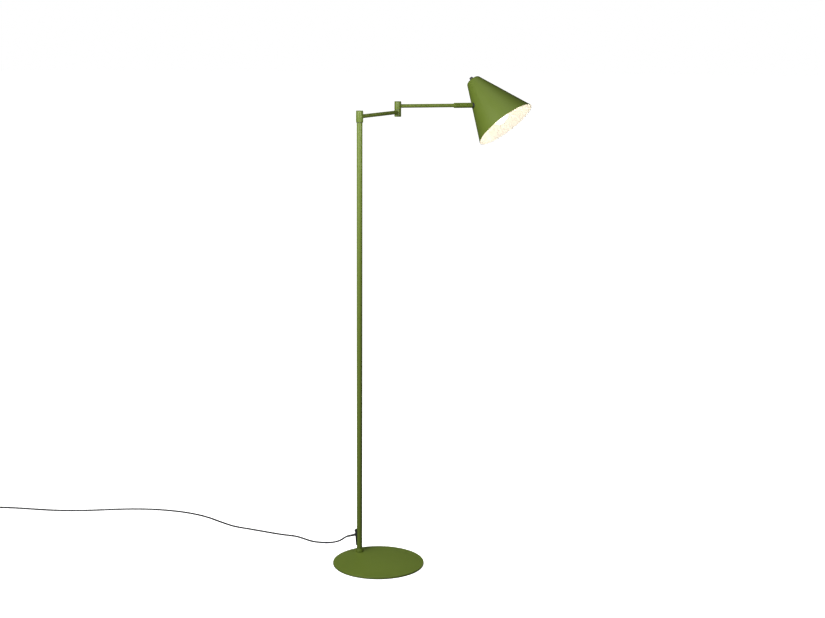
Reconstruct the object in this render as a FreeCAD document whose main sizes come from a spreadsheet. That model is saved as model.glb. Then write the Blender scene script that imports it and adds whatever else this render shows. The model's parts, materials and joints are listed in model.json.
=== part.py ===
"""Adjustable arm floor lamp: a FreeCAD macro that builds every piece and writes one STEP file for each.

A round base carries a tall post near its rim. Two level arms swing on upright spindles, one over the
other, and a conical shade turns on the end of the second arm. Millimetres, +Z up. The origin is on the
floor under the middle of the base, +X points right and +Y away from the front.
"""
import FreeCAD, Part
import math
import os
import re
import Sketcher

VECTOR = FreeCAD.Vector
UP = VECTOR(0, 0, 1)

doc = FreeCAD.newDocument("arm_floor_lamp")
sizes = doc.addObject("Spreadsheet::Sheet", "Sizes")
pieces = {}

# ---------------------------------------------------------------- driving dimensions
SIZES = {
    # base and post
    "base_dia": 260, "base_plate_height": 5, "pad_height": 1, "pad_margin": 4, "base_edge_round": 1,
    "post_offset": 99.6, "post_bearing": 125, "post_dia": 16, "post_wall": 1.5, "post_top": 1250,
    "collar_dia": 23, "collar_height": 10, "collar_neck_dia": 19, "collar_edge_round": 1.5,
    "foot_thread_dia": 10, "foot_head_dia": 19, "foot_head_height": 4.4, "foot_insert_height": 32,
    "foot_screw_length": 27, "foot_socket_dia": 6, "foot_socket_depth": 3.4,
    # cord outlet on the post
    "outlet_bottom": 27, "outlet_height": 47, "outlet_width": 9, "outlet_top_depth": 5,
    "outlet_foot_depth": 2.5,
    "outlet_hole_dia": 6.6, "cord_exit_height": 57.5, "outlet_screw_dia": 3, "outlet_screw_head": 5.6,
    "outlet_screw_head_height": 1.8, "outlet_screw_length": 9, "outlet_screw_height": 69.5,
    "relief_length": 24, "relief_root_dia": 8, "relief_tip_dia": 6.2, "relief_droop": 13,
    # mains cord
    "cord_dia": 5, "coil_mid_dia": 60, "coil_band": 10.4, "coil_lift": 0.8, "coil_height": 10.2,
    "tie_width": 6, "tie_thickness": 0.7, "tail_start_drop": 2.4, "tail_run": 20,
    "plug_length": 36, "plug_width": 35.3, "plug_height": 13.7, "plug_tail_width": 12,
    "pin_dia": 4, "pin_length": 19, "pin_spacing": 18.6, "pin_root": 6,
    # inner cable
    "cable_dia": 3, "post_cable_dia": 5, "cable_bend": 3.2, "post_cable_bend": 6, "cable_gap": 0.4,
    "holder_cable_reach": 24, "holder_cable_rise": 16,
    # shoulder and elbow
    "housing_dia": 20, "housing_wall": 2, "housing_edge_round": 0.6, "cap_height": 2, "cap_spigot": 3,
    "spindle_dia": 8, "spindle_bore": 5.4, "running_gap": 0.05, "seam_washer_height": 0.8,
    "seam_washer_bore": 14.4, "seam_washer_dia": 19, "stop_pin_dia": 1.6, "stop_pin_circle": 12,
    "stop_pin_rise": 1.5, "stop_pin_root": 1.2, "stop_groove_depth": 1.7, "stop_groove_width": 2,
    "thin_washer_dia": 14, "thin_washer_height": 0.7, "spring_washer_height": 1,
    "insert_flange_height": 1.6, "insert_depth": 22,
    "shoulder_floor": 3, "shoulder_height": 30.2, "shoulder_nut_flats": 13, "shoulder_nut_height": 4,
    "shoulder_spindle_root": 14, "shoulder_spindle_top": 1262.4, "shoulder_groove_angle": 345,
    "arm_dia": 11, "arm_wall": 1.2, "arm_end_gap": 7.6, "arm_1_height": 1268.4, "arm_2_height": 1286.3,
    "arm_1_bearing": 68.3, "arm_2_bearing": 21, "arm_1_length": 278,
    "elbow_bottom": 1257.2, "elbow_seam": 1276.2, "elbow_top": 1298, "elbow_roof": 2.2, "elbow_floor": 2.6,
    "elbow_nut_flats": 12, "elbow_nut_height": 3, "spindle_flange_dia": 12, "spindle_flange_height": 1.6,
    "elbow_groove_angle": 297,
    # swivel at the end of arm 2, measured along the arm from the elbow's axis
    "sleeve_dia": 15.5, "sleeve_bore": 13, "collar_start": 179, "sleeve_start": 195.8, "sleeve_end": 236.3,
    "sleeve_end_wall": 3, "collar_spigot": 7, "arm_2_end": 192, "swivel_gap": 0.3, "swivel_nut_flats": 11,
    "swivel_nut_height": 3.3, "swivel_spindle_start": 225, "swivel_reach": 12.5, "shade_station": 242,
    "swivel_ring_height": 7.1, "inner_washer_dia": 15, "inner_washer_height": 2.2, "shade_nut_height": 4,
    "side_hole_start": 4, "side_hole_depth": 8,
    # shade, measured from the middle of its mouth along its own axis
    "shade_mouth_radius": 95.5, "shade_top_radius": 20.6, "shade_length": 172.8, "shade_wall": 1.2,
    "shade_top_round": 9, "swivel_height": 99.8, "shade_roll": 33.75, "shade_lean": 1.7, "top_hole_dia": 10.2,
    # switch
    "switch_dia": 28, "switch_height": 26, "switch_neck_dia": 10, "switch_neck_rise": 2.8,
    "switch_nut_dia": 15, "switch_nut_height": 2.4, "switch_entry_height": 155, "shaft_dia": 4,
    "shaft_bottom": 157, "shaft_top": 180.4, "knob_dia": 11, "knob_bottom": 176, "knob_height": 6.2,
    "knob_taper": 0.3, "knob_round": 1, "flute_dia": 2, "flute_offset": 0.5, "flute_count": 8,
    # lamp holder and bulb
    "holder_dia": 37, "holder_height": 57, "holder_lip": 2, "holder_skirt": 14, "holder_shoulder": 5,
    "holder_bore": 27.4, "holder_bore_depth": 30,
    "contact_dia": 7, "contact_height": 1.6, "bulb_cap_dia": 26.4, "bulb_cap_height": 22,
    "bulb_tip_dia": 10, "bulb_tip_height": 3, "bulb_dia": 60, "bulb_length": 107, "bulb_neck_dia": 26.4,
    "bulb_glass_lap": 4, "bulb_glass": 1, "bulb_swell": 28, "bulb_flow": 24, "bulb_neck_flow": 18,
    "bulb_lip": 3, "cap_taper": 2,
}

for row, (alias, amount) in enumerate(SIZES.items(), start=1):
    sizes.set("A%d" % row, alias)
    sizes.set("B%d" % row, str(amount))
    sizes.setAlias("B%d" % row, alias)
doc.recompute()


def size(alias):
    """The number in the sheet's cell of that name."""
    return float(sizes.get(alias))


def bound(text):
    """A formula on plain cell names, written out for the expression engine."""
    return re.sub(r"[a-z][a-z_0-9]*", lambda word: "Sizes." + word[0] if word[0] in SIZES else word[0], text)


def number(text):
    """The present value of a formula on cell names."""
    result = sizes.evalExpression(bound(text))
    return float(getattr(result, "Value", result))


# ---------------------------------------------------------------- helpers for shapes
def origin_plane(body, role):
    """One of a body's own origin planes, found by its role."""
    return [item for item in body.Origin.OriginFeatures if item.Role == role][0]


def profile_sketch(body, role, corners):
    """A closed outline of straight lines on an origin plane, each corner held by two formulas."""
    sketch = body.newObject("Sketcher::SketchObject", body.Label + "_profile")
    sketch.AttachmentSupport = [(origin_plane(body, role), "")]
    sketch.MapMode = "FlatFace"
    spots = [VECTOR(number(across), number(along), 0) for across, along in corners]
    for index, spot in enumerate(spots):
        sketch.addGeometry(Part.LineSegment(spot, spots[(index + 1) % len(spots)]), False)
    for index in range(len(spots)):
        following = (index + 1) % len(spots)
        sketch.addConstraint(Sketcher.Constraint("Coincident", index, 2, following, 1))
    for index, (across, along) in enumerate(corners):
        hold_corner(sketch, index, "DistanceX", across, -2)
        hold_corner(sketch, index, "DistanceY", along, -1)
    return sketch


def hold_corner(sketch, index, direction, formula, axis):
    """Fix one coordinate of a corner: on the axis where it is nought, else at a bound distance."""
    if formula == "0":
        sketch.addConstraint(Sketcher.Constraint("PointOnObject", index, 1, axis))
        return
    constraint = Sketcher.Constraint(direction, -1, 1, index, 1, number(formula))
    place = sketch.addConstraint(constraint)
    sketch.setExpression("Constraints[%d]" % place, bound(formula))


def turned(label, corners):
    """A lathe-turned body about Z from (radius, height) corners."""
    body = doc.addObject("PartDesign::Body", label)
    body.Label = label
    sketch = profile_sketch(body, "XZ_Plane", corners)
    revolution = body.newObject("PartDesign::Revolution", label + "_turning")
    revolution.Profile = sketch
    revolution.ReferenceAxis = (sketch, ["V_Axis"])
    revolution.Angle = 360
    doc.recompute()
    return body


def ring_edges(body, wanted):
    """Names of the round edges about Z that match any (radius, height) pair."""
    names = []
    for index, edge in enumerate(body.Shape.Edges, start=1):
        centre = getattr(edge.Curve, "Center", None)
        if centre is None or abs(centre.x) > 1e-6 or abs(centre.y) > 1e-6:
            continue
        for radius, height in wanted:
            if abs(edge.Curve.Radius - radius) < 1e-4 and abs(centre.z - height) < 1e-4:
                names.append("Edge%d" % index)
    return names


def rounded(body, wanted, formula):
    """Fillet a turned body's round edges, given as (radius, height) formulas."""
    pairs = [(number(radius), number(height)) for radius, height in wanted]
    tip = body.Tip
    names = ring_edges(body, pairs)
    fillet = body.newObject("PartDesign::Fillet", body.Label + "_round")
    fillet.Base = (tip, names)
    fillet.Radius = number(formula)
    fillet.setExpression("Radius", bound(formula))
    doc.recompute()
    return body


def washer(label, outer_dia, bore_dia, bottom, height):
    """A flat ring between two heights."""
    outer = "(%s) / 2" % outer_dia
    inner = "(%s) / 2" % bore_dia
    top = "%s + %s" % (bottom, height)
    return turned(label, [(inner, bottom), (outer, bottom), (outer, top), (inner, top)])


def rod(name, radius, length, placement=FreeCAD.Placement(), angle=None):
    """A plain cylinder bound to the sheet, used whole or as a cutting tool."""
    cylinder = doc.addObject("Part::Cylinder", name)
    cylinder.Label = name
    cylinder.setExpression("Radius", bound(radius))
    cylinder.setExpression("Height", bound(length))
    if angle:
        cylinder.setExpression("Angle", bound(angle))
    cylinder.Placement = placement
    return cylinder


def nut(label, flats, height, bottom, bore):
    """A hexagon nut about Z."""
    prism = doc.addObject("Part::Prism", label + "_hexagon")
    prism.Polygon = 6
    prism.setExpression("Circumradius", bound("%s / sqrt(3)" % flats))
    prism.setExpression("Height", bound(height))
    prism.Placement.Base = VECTOR(0, 0, number(bottom))
    hole = rod(label + "_bore", "%s / 2" % bore, height, at(0, 0, number(bottom)))
    return cut(label, prism, [hole])


def cut(label, base, tools):
    """The base shape with every tool taken away, checked to have lost volume."""
    result = base
    for index, tool in enumerate(tools):
        smaller = doc.addObject("Part::Cut", "%s_cut_%d" % (label, index))
        smaller.Base = result
        smaller.Tool = tool
        doc.recompute()
        assert smaller.Shape.Volume < result.Shape.Volume - 1e-6, label + ": a cut removed nothing"
        result = smaller
    result.Label = label
    return result


def joined(label, shapes):
    """Several solids welded into one."""
    fuse = doc.addObject("Part::MultiFuse", label)
    fuse.Label = label
    fuse.Shapes = shapes
    doc.recompute()
    return fuse


def at(across, away, height):
    """A placement that only shifts."""
    return FreeCAD.Placement(VECTOR(across, away, height), FreeCAD.Rotation())


def facing(origin, forward, side):
    """A placement with local Z along forward and local X as near side as it can be."""
    return FreeCAD.Placement(origin, FreeCAD.Rotation(side, VECTOR(0, 0, 0), forward, "ZXY"))


def keep(item, placement):
    """List a finished piece and put it in its place in the lamp."""
    item.Placement = placement
    pieces[item.Label] = item
    return item


# ---------------------------------------------------------------- frames of the assembly
def bearing(alias):
    """A level unit direction from a bearing, counted from +X towards +Y."""
    angle = math.radians(size(alias))
    return VECTOR(math.cos(angle), math.sin(angle), 0)


POST_FOOT = bearing("post_bearing") * size("post_offset")
ARM_1_WAY = bearing("arm_1_bearing")
ARM_2_WAY = bearing("arm_2_bearing")
ELBOW = POST_FOOT + ARM_1_WAY * size("arm_1_length")

BASE_FRAME = at(0, 0, 0)
POST_FRAME = FreeCAD.Placement(POST_FOOT, FreeCAD.Rotation())
SHOULDER_FRAME = FreeCAD.Placement(POST_FOOT, FreeCAD.Rotation(UP, size("arm_1_bearing")))
ELBOW_LOWER_FRAME = FreeCAD.Placement(ELBOW, FreeCAD.Rotation(UP, size("arm_1_bearing") + 180))
ELBOW_UPPER_FRAME = FreeCAD.Placement(ELBOW, FreeCAD.Rotation(UP, size("arm_2_bearing")))
ARM_1_FRAME = facing(POST_FOOT + UP * size("arm_1_height"), ARM_1_WAY, UP)
ARM_2_FRAME = facing(ELBOW + UP * size("arm_2_height"), ARM_2_WAY, UP)


def shade_slope():
    """The shade's half angle, in radians."""
    spread = size("shade_mouth_radius") - size("shade_top_radius")
    return math.atan2(spread, size("shade_length"))


def shade_frame():
    """Origin at the middle of the mouth, Z up the shade's axis, X towards the swivel."""
    pitch = shade_slope() + math.radians(size("shade_lean"))
    roll = math.radians(size("shade_roll"))
    front = VECTOR(ARM_2_WAY.y, -ARM_2_WAY.x, 0)
    wall_down = UP * -math.cos(roll) + front * math.sin(roll)
    aim = wall_down * math.cos(pitch) + ARM_2_WAY * math.sin(pitch)
    to_arm = ARM_2_WAY * -math.cos(pitch) + wall_down * math.sin(pitch)
    wall_point = ELBOW + UP * size("arm_2_height") + ARM_2_WAY * size("shade_station")
    reach = size("shade_mouth_radius") - size("swivel_height") * math.tan(shade_slope())
    mouth = wall_point - to_arm * reach + aim * size("swivel_height")
    return facing(mouth, aim * -1, to_arm)


SHADE_FRAME = shade_frame()


# ---------------------------------------------------------------- base and post
def make_base():
    """Steel disc, pad, the screw that holds the post, and the collar round its foot."""
    pad = "pad_height"
    top = "pad_height + base_plate_height"
    edge = "base_dia / 2"
    plate = turned("base_plate_blank", [("0", pad), (edge, pad), (edge, top), ("0", top)])
    rounded(plate, [(edge, top), (edge, pad)], "base_edge_round")
    here = at(POST_FOOT.x, POST_FOOT.y, 0)
    shank = rod("base_plate_hole", "foot_thread_dia / 2", top, here)
    sink = turned("base_plate_sink", [("0", "0"), ("foot_head_dia / 2", "0"), ("foot_head_dia / 2", pad),
                                      ("foot_thread_dia / 2", pad + " + foot_head_height"),
                                      ("0", pad + " + foot_head_height")])
    sink.Placement = here
    keep(cut("base_plate", plate, [shank, sink]), BASE_FRAME)

    disc = rod("floor_pad_disc", "base_dia / 2 - pad_margin", pad)
    window = rod("floor_pad_window", "foot_head_dia / 2 + pad_margin / 2", pad, here)
    keep(cut("floor_pad", disc, [window]), BASE_FRAME)

    head = pad + " + foot_head_height"
    length = pad + " + foot_screw_length"
    blank = turned("foot_screw_blank", [("0", pad), ("foot_head_dia / 2", pad), ("foot_thread_dia / 2", head),
                                        ("foot_thread_dia / 2", length), ("0", length)])
    socket = rod("foot_screw_socket", "foot_socket_dia / 2", "foot_socket_depth",
                 at(0, 0, size("pad_height")))
    keep(cut("foot_screw", blank, [socket]), POST_FRAME)


def make_post():
    """The post tube, its foot insert and its collar."""
    floor = "pad_height + base_plate_height"
    bore = "post_dia / 2 - post_wall"
    post = turned("post_blank", [(bore, floor), ("post_dia / 2", floor), ("post_dia / 2", "post_top"),
                                 (bore, "post_top")])
    hole = rod("post_cord_hole", "outlet_hole_dia / 2", "post_dia", facing(
        VECTOR(0, 0, size("cord_exit_height")), VECTOR(-1, 0, 0), UP))
    pilot = rod("post_screw_hole", "outlet_screw_dia / 2", "post_dia", facing(
        VECTOR(0, 0, size("outlet_screw_height")), VECTOR(-1, 0, 0), UP))
    keep(cut("post", post, [hole, pilot]), POST_FRAME)

    insert_top = floor + " + foot_insert_height"
    thread = "foot_thread_dia / 2"
    insert = [(thread, floor), (bore, floor), (bore, insert_top), (thread, insert_top)]
    keep(turned("foot_insert", insert), POST_FRAME)

    collar_top = floor + " + collar_height"
    waist = floor + " + collar_height / 3"
    collar = turned("foot_collar", [("post_dia / 2", floor), ("collar_dia / 2", floor),
                                    ("collar_dia / 2", waist),
                                    ("collar_neck_dia / 2", collar_top), ("post_dia / 2", collar_top)])
    rounded(collar, [("collar_dia / 2", waist)], "collar_edge_round")
    keep(collar, POST_FRAME)


def make_outlet():
    """The moulded cord outlet on the post's left side, its screw and the cord's strain relief."""
    body = doc.addObject("PartDesign::Body", "outlet_wedge")
    body.Label = "outlet_wedge"
    low = "outlet_bottom"
    high = "outlet_bottom + outlet_height"
    sketch = profile_sketch(body, "XZ_Plane", [
        ("0", low), ("-post_dia / 2 - outlet_foot_depth", low),
        ("-post_dia / 2 - outlet_top_depth", high + " - outlet_width"),
        ("-post_dia / 2 - outlet_top_depth", high), ("0", high)])
    pad = body.newObject("PartDesign::Pad", "outlet_pad")
    pad.Profile = sketch
    pad.Midplane = True
    pad.setExpression("Length", bound("outlet_width"))
    doc.recompute()
    long_edges = []
    front = -size("post_dia") / 2 - size("outlet_foot_depth") + 0.01
    for index, edge in enumerate(pad.Shape.Edges, start=1):
        if max(vertex.X for vertex in edge.Vertexes) < front:
            long_edges.append("Edge%d" % index)
    soften = body.newObject("PartDesign::Fillet", "outlet_round")
    soften.Base = (pad, long_edges)
    soften.setExpression("Radius", bound("outlet_foot_depth / 2"))
    doc.recompute()
    post_space = rod("outlet_post_space", "post_dia / 2", "outlet_height + outlet_bottom", BASE_FRAME)
    passage = rod("outlet_passage", "post_cable_dia / 2", "post_dia", facing(
        VECTOR(0, 0, size("cord_exit_height")), VECTOR(-1, 0, 0), UP))
    screw_way = rod("outlet_screw_way", "outlet_screw_dia / 2", "post_dia", facing(
        VECTOR(0, 0, size("outlet_screw_height")), VECTOR(-1, 0, 0), UP))
    keep(cut("cord_outlet", body, [post_space, passage, screw_way]), POST_FRAME)

    shank = "outlet_screw_dia / 2"
    head = "outlet_screw_head / 2"
    screw = turned("outlet_screw_head_blank", [("0", "0"), (head, "0"),
                                               (head, "outlet_screw_head_height / 2"),
                                    (shank + " + 0.4", "outlet_screw_head_height"),
                                    ("0", "outlet_screw_head_height")])
    stem = rod("outlet_screw_stem", shank, "outlet_screw_length", facing(VECTOR(), UP * -1, VECTOR(1, 0, 0)))
    whole = joined("outlet_screw", [screw, stem])
    face = -size("post_dia") / 2 - size("outlet_top_depth")
    seat = POST_FOOT + VECTOR(face, 0, size("outlet_screw_height"))
    keep(whole, facing(seat, VECTOR(-1, 0, 0), UP))

    relief = turned("strain_relief", [("0", "0"), ("relief_root_dia / 2", "0"),
                                      ("relief_tip_dia / 2", "relief_length"), ("0", "relief_length")])
    keep(relief, facing(POST_FOOT + relief_root(), relief_way(), UP))


def relief_way():
    """The direction in which the cord leaves the post: to the left and a little down."""
    droop = math.radians(size("relief_droop"))
    return VECTOR(-math.cos(droop), 0, -math.sin(droop))


def relief_root():
    """Where the strain relief stands on the outlet's face, from the post's foot."""
    rise = (size("cord_exit_height") - size("outlet_bottom")) / (size("outlet_height") - size("outlet_width"))
    depth = size("outlet_foot_depth") + rise * (size("outlet_top_depth") - size("outlet_foot_depth"))
    return VECTOR(-size("post_dia") / 2 - depth, 0, size("cord_exit_height"))


# ---------------------------------------------------------------- cords
def arc_path(route, radii):
    """A path of straight runs with a tangent arc of the given radius at each inner corner."""
    edges = []
    start = route[0]
    for previous, corner, following, radius in zip(route, route[1:], route[2:], radii):
        arriving = (corner - previous).normalize()
        leaving = (following - corner).normalize()
        half_turn = arriving.getAngle(leaving) / 2
        reach = radius * math.tan(half_turn)
        middle_way = (leaving - arriving).normalize()
        sagitta = radius * (1 / math.cos(half_turn) - 1)
        first = corner - arriving * reach
        last = corner + leaving * reach
        edges.append(Part.LineSegment(start, first).toShape())
        edges.append(Part.Arc(first, corner + middle_way * sagitta, last).toShape())
        start = last
    edges.append(Part.LineSegment(start, route[-1]).toShape())
    return Part.Wire(edges)


def widest_radii(route):
    """The largest arc radius for each corner that still leaves a straight length between arcs."""
    share = 0.45
    radii = []
    for previous, corner, following in zip(route, route[1:], route[2:]):
        half_turn = (corner - previous).getAngle(following - corner) / 2
        reach = share * min(corner.distanceToPoint(previous), corner.distanceToPoint(following))
        radii.append(reach / math.tan(half_turn))
    return radii


def round_tube(label, route, radii, diameter, placement):
    """A round cord or cable swept along a path of arcs, with its length and volume printed."""
    path = arc_path(route, radii)
    section = Part.Wire(Part.Circle(route[0], (route[1] - route[0]).normalize(), diameter / 2).toShape())
    item = doc.addObject("Part::Feature", label)
    item.Label = label
    item.Shape = path.makePipeShell([section], True, False)
    expected = path.Length * math.pi * diameter ** 2 / 4
    print("%s: length %.0f mm, smallest radius %.1f mm, volume %.3f of section times length"
          % (label, path.Length, min(radii), item.Shape.Volume / expected))
    keep(item, placement)


# The cord's route from the strain relief: down to the floor behind the base, then away to the left.
CORD_ROUTE = [
    (-101, 89, 45.5), (-111, 99, 35), (-121, 115, 25), (-132, 133, 16), (-145, 149, 8.6),
    (-161, 161, 4), (-180, 167, 2.6), (-203, 175, 2.6), (-228, 198, 2.6), (-254, 221, 2.6), (-297, 233, 2.6),
    (-352, 259, 2.6), (-406, 285, 2.6), (-452, 305, 2.6), (-497, 346, 2.6), (-548, 396, 2.6),
    (-609, 433, 2.6), (-679, 457, 2.6), (-754, 468, 2.6), (-829, 465, 2.6), (-903, 453, 2.6),
    (-977, 445, 2.6), (-1052, 449, 2.6), (-1124, 462, 2.6), (-1188, 472, 2.6), (-1246, 475, 2.6),
]
COIL_MIDDLE = VECTOR(-1263, 442.5, 0)


def make_cord():
    """The cord's free run, its stored coil and tie, and the short tail to the plug."""
    tip = POST_FOOT + relief_root() + relief_way() * size("relief_length")
    route = [tip] + [VECTOR(*spot) for spot in CORD_ROUTE]
    round_tube("cord_run", route, widest_radii(route), size("cord_dia"), BASE_FRAME)

    inner = "coil_mid_dia / 2 - coil_band / 2"
    outer = "coil_mid_dia / 2 + coil_band / 2"
    low = "coil_lift"
    high = "coil_lift + coil_height"
    coil = turned("cord_coil", [(inner, low), (outer, low), (outer, high), (inner, high)])
    rounded(coil, [(inner, low), (outer, low), (outer, high), (inner, high)], "cord_dia / 2 - 0.3")
    keep(coil, FreeCAD.Placement(COIL_MIDDLE, FreeCAD.Rotation()))
    make_tie()

    root = COIL_MIDDLE + VECTOR(-size("coil_mid_dia") / 2 - size("tail_start_drop"), -6, 3)
    middle = root + VECTOR(-1, -size("tail_run"), 0.2)
    end = VECTOR(middle.x, middle.y - size("tail_run"), size("plug_height") / 2)
    tail = [root, middle, end]
    round_tube("cord_tail", tail, widest_radii(tail), size("cord_dia"), BASE_FRAME)
    make_plug(end, end - middle)


def make_tie():
    """A strap once round the coil's bundle, on the side away from the plug."""
    tie = doc.addObject("Part::Box", "cord_tie_block")
    tie.setExpression("Length", bound("coil_band + 2 * tie_thickness"))
    tie.setExpression("Width", bound("tie_width"))
    tie.setExpression("Height", bound("coil_height + 2 * tie_thickness"))
    window = doc.addObject("Part::Box", "cord_tie_window")
    window.setExpression("Length", bound("coil_band"))
    window.setExpression("Width", bound("tie_width"))
    window.setExpression("Height", bound("coil_height"))
    window.Placement = at(size("tie_thickness"), 0, size("tie_thickness"))
    start = VECTOR(size("coil_mid_dia") / 2 - size("coil_band") / 2 - size("tie_thickness"),
                   -size("tie_width") / 2, size("coil_lift") - size("tie_thickness"))
    keep(cut("cord_tie", tie, [window]), FreeCAD.Placement(COIL_MIDDLE + start, FreeCAD.Rotation()))


def make_plug(root, way):
    """A flat two-pin plug lying on the floor at the end of the tail."""
    level = VECTOR(way.x, way.y, 0).normalize()
    origin = VECTOR(root.x, root.y, size("plug_height") / 2)
    frame = facing(origin, level, UP)
    body = doc.addObject("PartDesign::Body", "plug_blank")
    body.Label = "plug_blank"
    half_tail = "plug_tail_width / 2"
    half_wide = "plug_width / 2"
    sketch = profile_sketch(body, "YZ_Plane", [
        ("-" + half_tail, "0"), (half_tail, "0"), (half_tail, "plug_length / 4"),
        (half_wide, "plug_length * 0.7"),
        (half_wide, "plug_length"), ("-" + half_wide, "plug_length"), ("-" + half_wide, "plug_length * 0.7"),
        ("-" + half_tail, "plug_length / 4")])
    pad = body.newObject("PartDesign::Pad", "plug_pad")
    pad.Profile = sketch
    pad.Midplane = True
    pad.setExpression("Length", bound("plug_height"))
    doc.recompute()
    rim = ["Edge%d" % index for index in range(1, len(pad.Shape.Edges) + 1)]
    soften = body.newObject("PartDesign::Fillet", "plug_round")
    soften.Base = (pad, rim)
    soften.setExpression("Radius", bound("pin_dia / 2"))
    doc.recompute()
    sockets = []
    pins = []
    for side in (-1, 1):
        shift = at(0, side * size("pin_spacing") / 2, size("plug_length") - size("pin_root"))
        sockets.append(rod("plug_socket", "pin_dia / 2", "pin_root", shift))
        pins.append(rod("plug_pin", "pin_dia / 2", "pin_root + pin_length", shift))
    keep(cut("plug_body", body, sockets), frame)
    pair = doc.addObject("Part::Compound", "plug_pins")
    pair.Label = "plug_pins"
    pair.Links = pins
    doc.recompute()
    keep(pair, frame)


# ---------------------------------------------------------------- shoulder, on the post's top
def make_shoulder_core():
    """The fixed pieces: insert, hollow spindle, stop pin, washers and nut."""
    bore = "post_dia / 2 - post_wall"
    hole = "spindle_dia / 2"
    bottom = "post_top - insert_depth"
    flange = "post_top + insert_flange_height"
    insert = turned("shoulder_insert_blank", [(hole, bottom), (bore, bottom), (bore, "post_top"),
                                              ("post_dia / 2", "post_top"), ("post_dia / 2", flange),
                                              (hole, flange)])
    pin_root = number(flange + " - stop_pin_root")
    pin_place = FreeCAD.Placement(VECTOR(size("stop_pin_circle") / 2, 0, pin_root), FreeCAD.Rotation())
    socket = rod("shoulder_pin_socket", "stop_pin_dia / 2", "stop_pin_root", pin_place)
    turned_frame = FreeCAD.Placement(POST_FOOT, FreeCAD.Rotation(UP, size("post_bearing")))
    keep(cut("shoulder_insert", insert, [socket]), turned_frame)

    root = "post_top - shoulder_spindle_root"
    top = "shoulder_spindle_top"
    spindle = [("spindle_bore / 2", root), (hole, root), (hole, top), ("spindle_bore / 2", top)]
    keep(turned("shoulder_spindle", spindle), POST_FRAME)
    pin = rod("shoulder_stop_pin", "stop_pin_dia / 2",
              "stop_pin_root + seam_washer_height + stop_pin_rise", pin_place)
    keep(pin, turned_frame.multiply(pin_place))

    keep(washer("shoulder_washer", "seam_washer_dia", "seam_washer_bore", flange, "seam_washer_height"),
         POST_FRAME)
    floor = flange + " + seam_washer_height + shoulder_floor"
    keep(washer("shoulder_friction_washer", "thin_washer_dia", "spindle_dia", floor, "thin_washer_height"),
         POST_FRAME)
    above = floor + " + thin_washer_height"
    keep(washer("shoulder_spring_washer", "thin_washer_dia - 1", "spindle_dia", above,
                "spring_washer_height"),
         POST_FRAME)
    keep(nut("shoulder_nut", "shoulder_nut_flats", "shoulder_nut_height", above + " + spring_washer_height",
             "spindle_dia"), POST_FRAME)


def arm_way(name, height):
    """The cutting tool for an arm's hole through a housing's wall."""
    return rod(name, "arm_dia / 2", "housing_dia", facing(VECTOR(0, 0, size(height)), VECTOR(1, 0, 0), UP))


def stop_groove(name, bottom, sweep):
    """The curved slot for a stop pin, centred on the side away from the arm."""
    turn = FreeCAD.Rotation(UP, 180 - number(sweep) / 2)
    place = FreeCAD.Placement(VECTOR(0, 0, number(bottom)), turn)
    outer = rod(name + "_outer", "stop_pin_circle / 2 + stop_groove_width / 2", "stop_groove_depth", place,
                sweep)
    inner = rod(name + "_inner", "stop_pin_circle / 2 - stop_groove_width / 2", "stop_groove_depth", place)
    return cut(name, outer, [inner])


def make_shoulder_housing():
    """The turning cup that holds arm 1, and its cap."""
    low = "post_top + insert_flange_height + seam_washer_height"
    floor = low + " + shoulder_floor"
    top = low + " + shoulder_height"
    wall = "housing_dia / 2 - housing_wall"
    bore = "spindle_dia / 2 + running_gap"
    cup = turned("shoulder_cup", [(bore, low), ("housing_dia / 2", low), ("housing_dia / 2", top),
                                  (wall, top),
                                  (wall, floor), (bore, floor)])
    rounded(cup, [("housing_dia / 2", low)], "housing_edge_round")
    groove = stop_groove("shoulder_groove", low, "shoulder_groove_angle")
    keep(cut("shoulder_housing", cup, [groove, arm_way("shoulder_arm_way", "arm_1_height")]), SHOULDER_FRAME)
    keep(end_cap("shoulder_cap", top, 1), POST_FRAME)


def end_cap(label, seam, way):
    """A pressed-in cap that closes a housing, above (1) or below (-1) its seam."""
    sign = "+" if way > 0 else "-"
    back = "-" if way > 0 else "+"
    outer = "%s %s cap_height" % (seam, sign)
    inner = "%s %s cap_spigot" % (seam, back)
    wall = "housing_dia / 2 - housing_wall"
    cap = turned(label, [("0", inner), (wall, inner), (wall, seam), ("housing_dia / 2", seam),
                         ("housing_dia / 2", outer), ("0", outer)])
    return rounded(cap, [("housing_dia / 2", outer)], "housing_edge_round")


# ---------------------------------------------------------------- arms and elbow
def make_arm(label, frame, length):
    """A straight tube between two housings, along its own Z."""
    bore = "arm_dia / 2 - arm_wall"
    corners = [(bore, "arm_end_gap"), ("arm_dia / 2", "arm_end_gap"), ("arm_dia / 2", length), (bore, length)]
    keep(turned(label, corners), frame)


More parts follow.
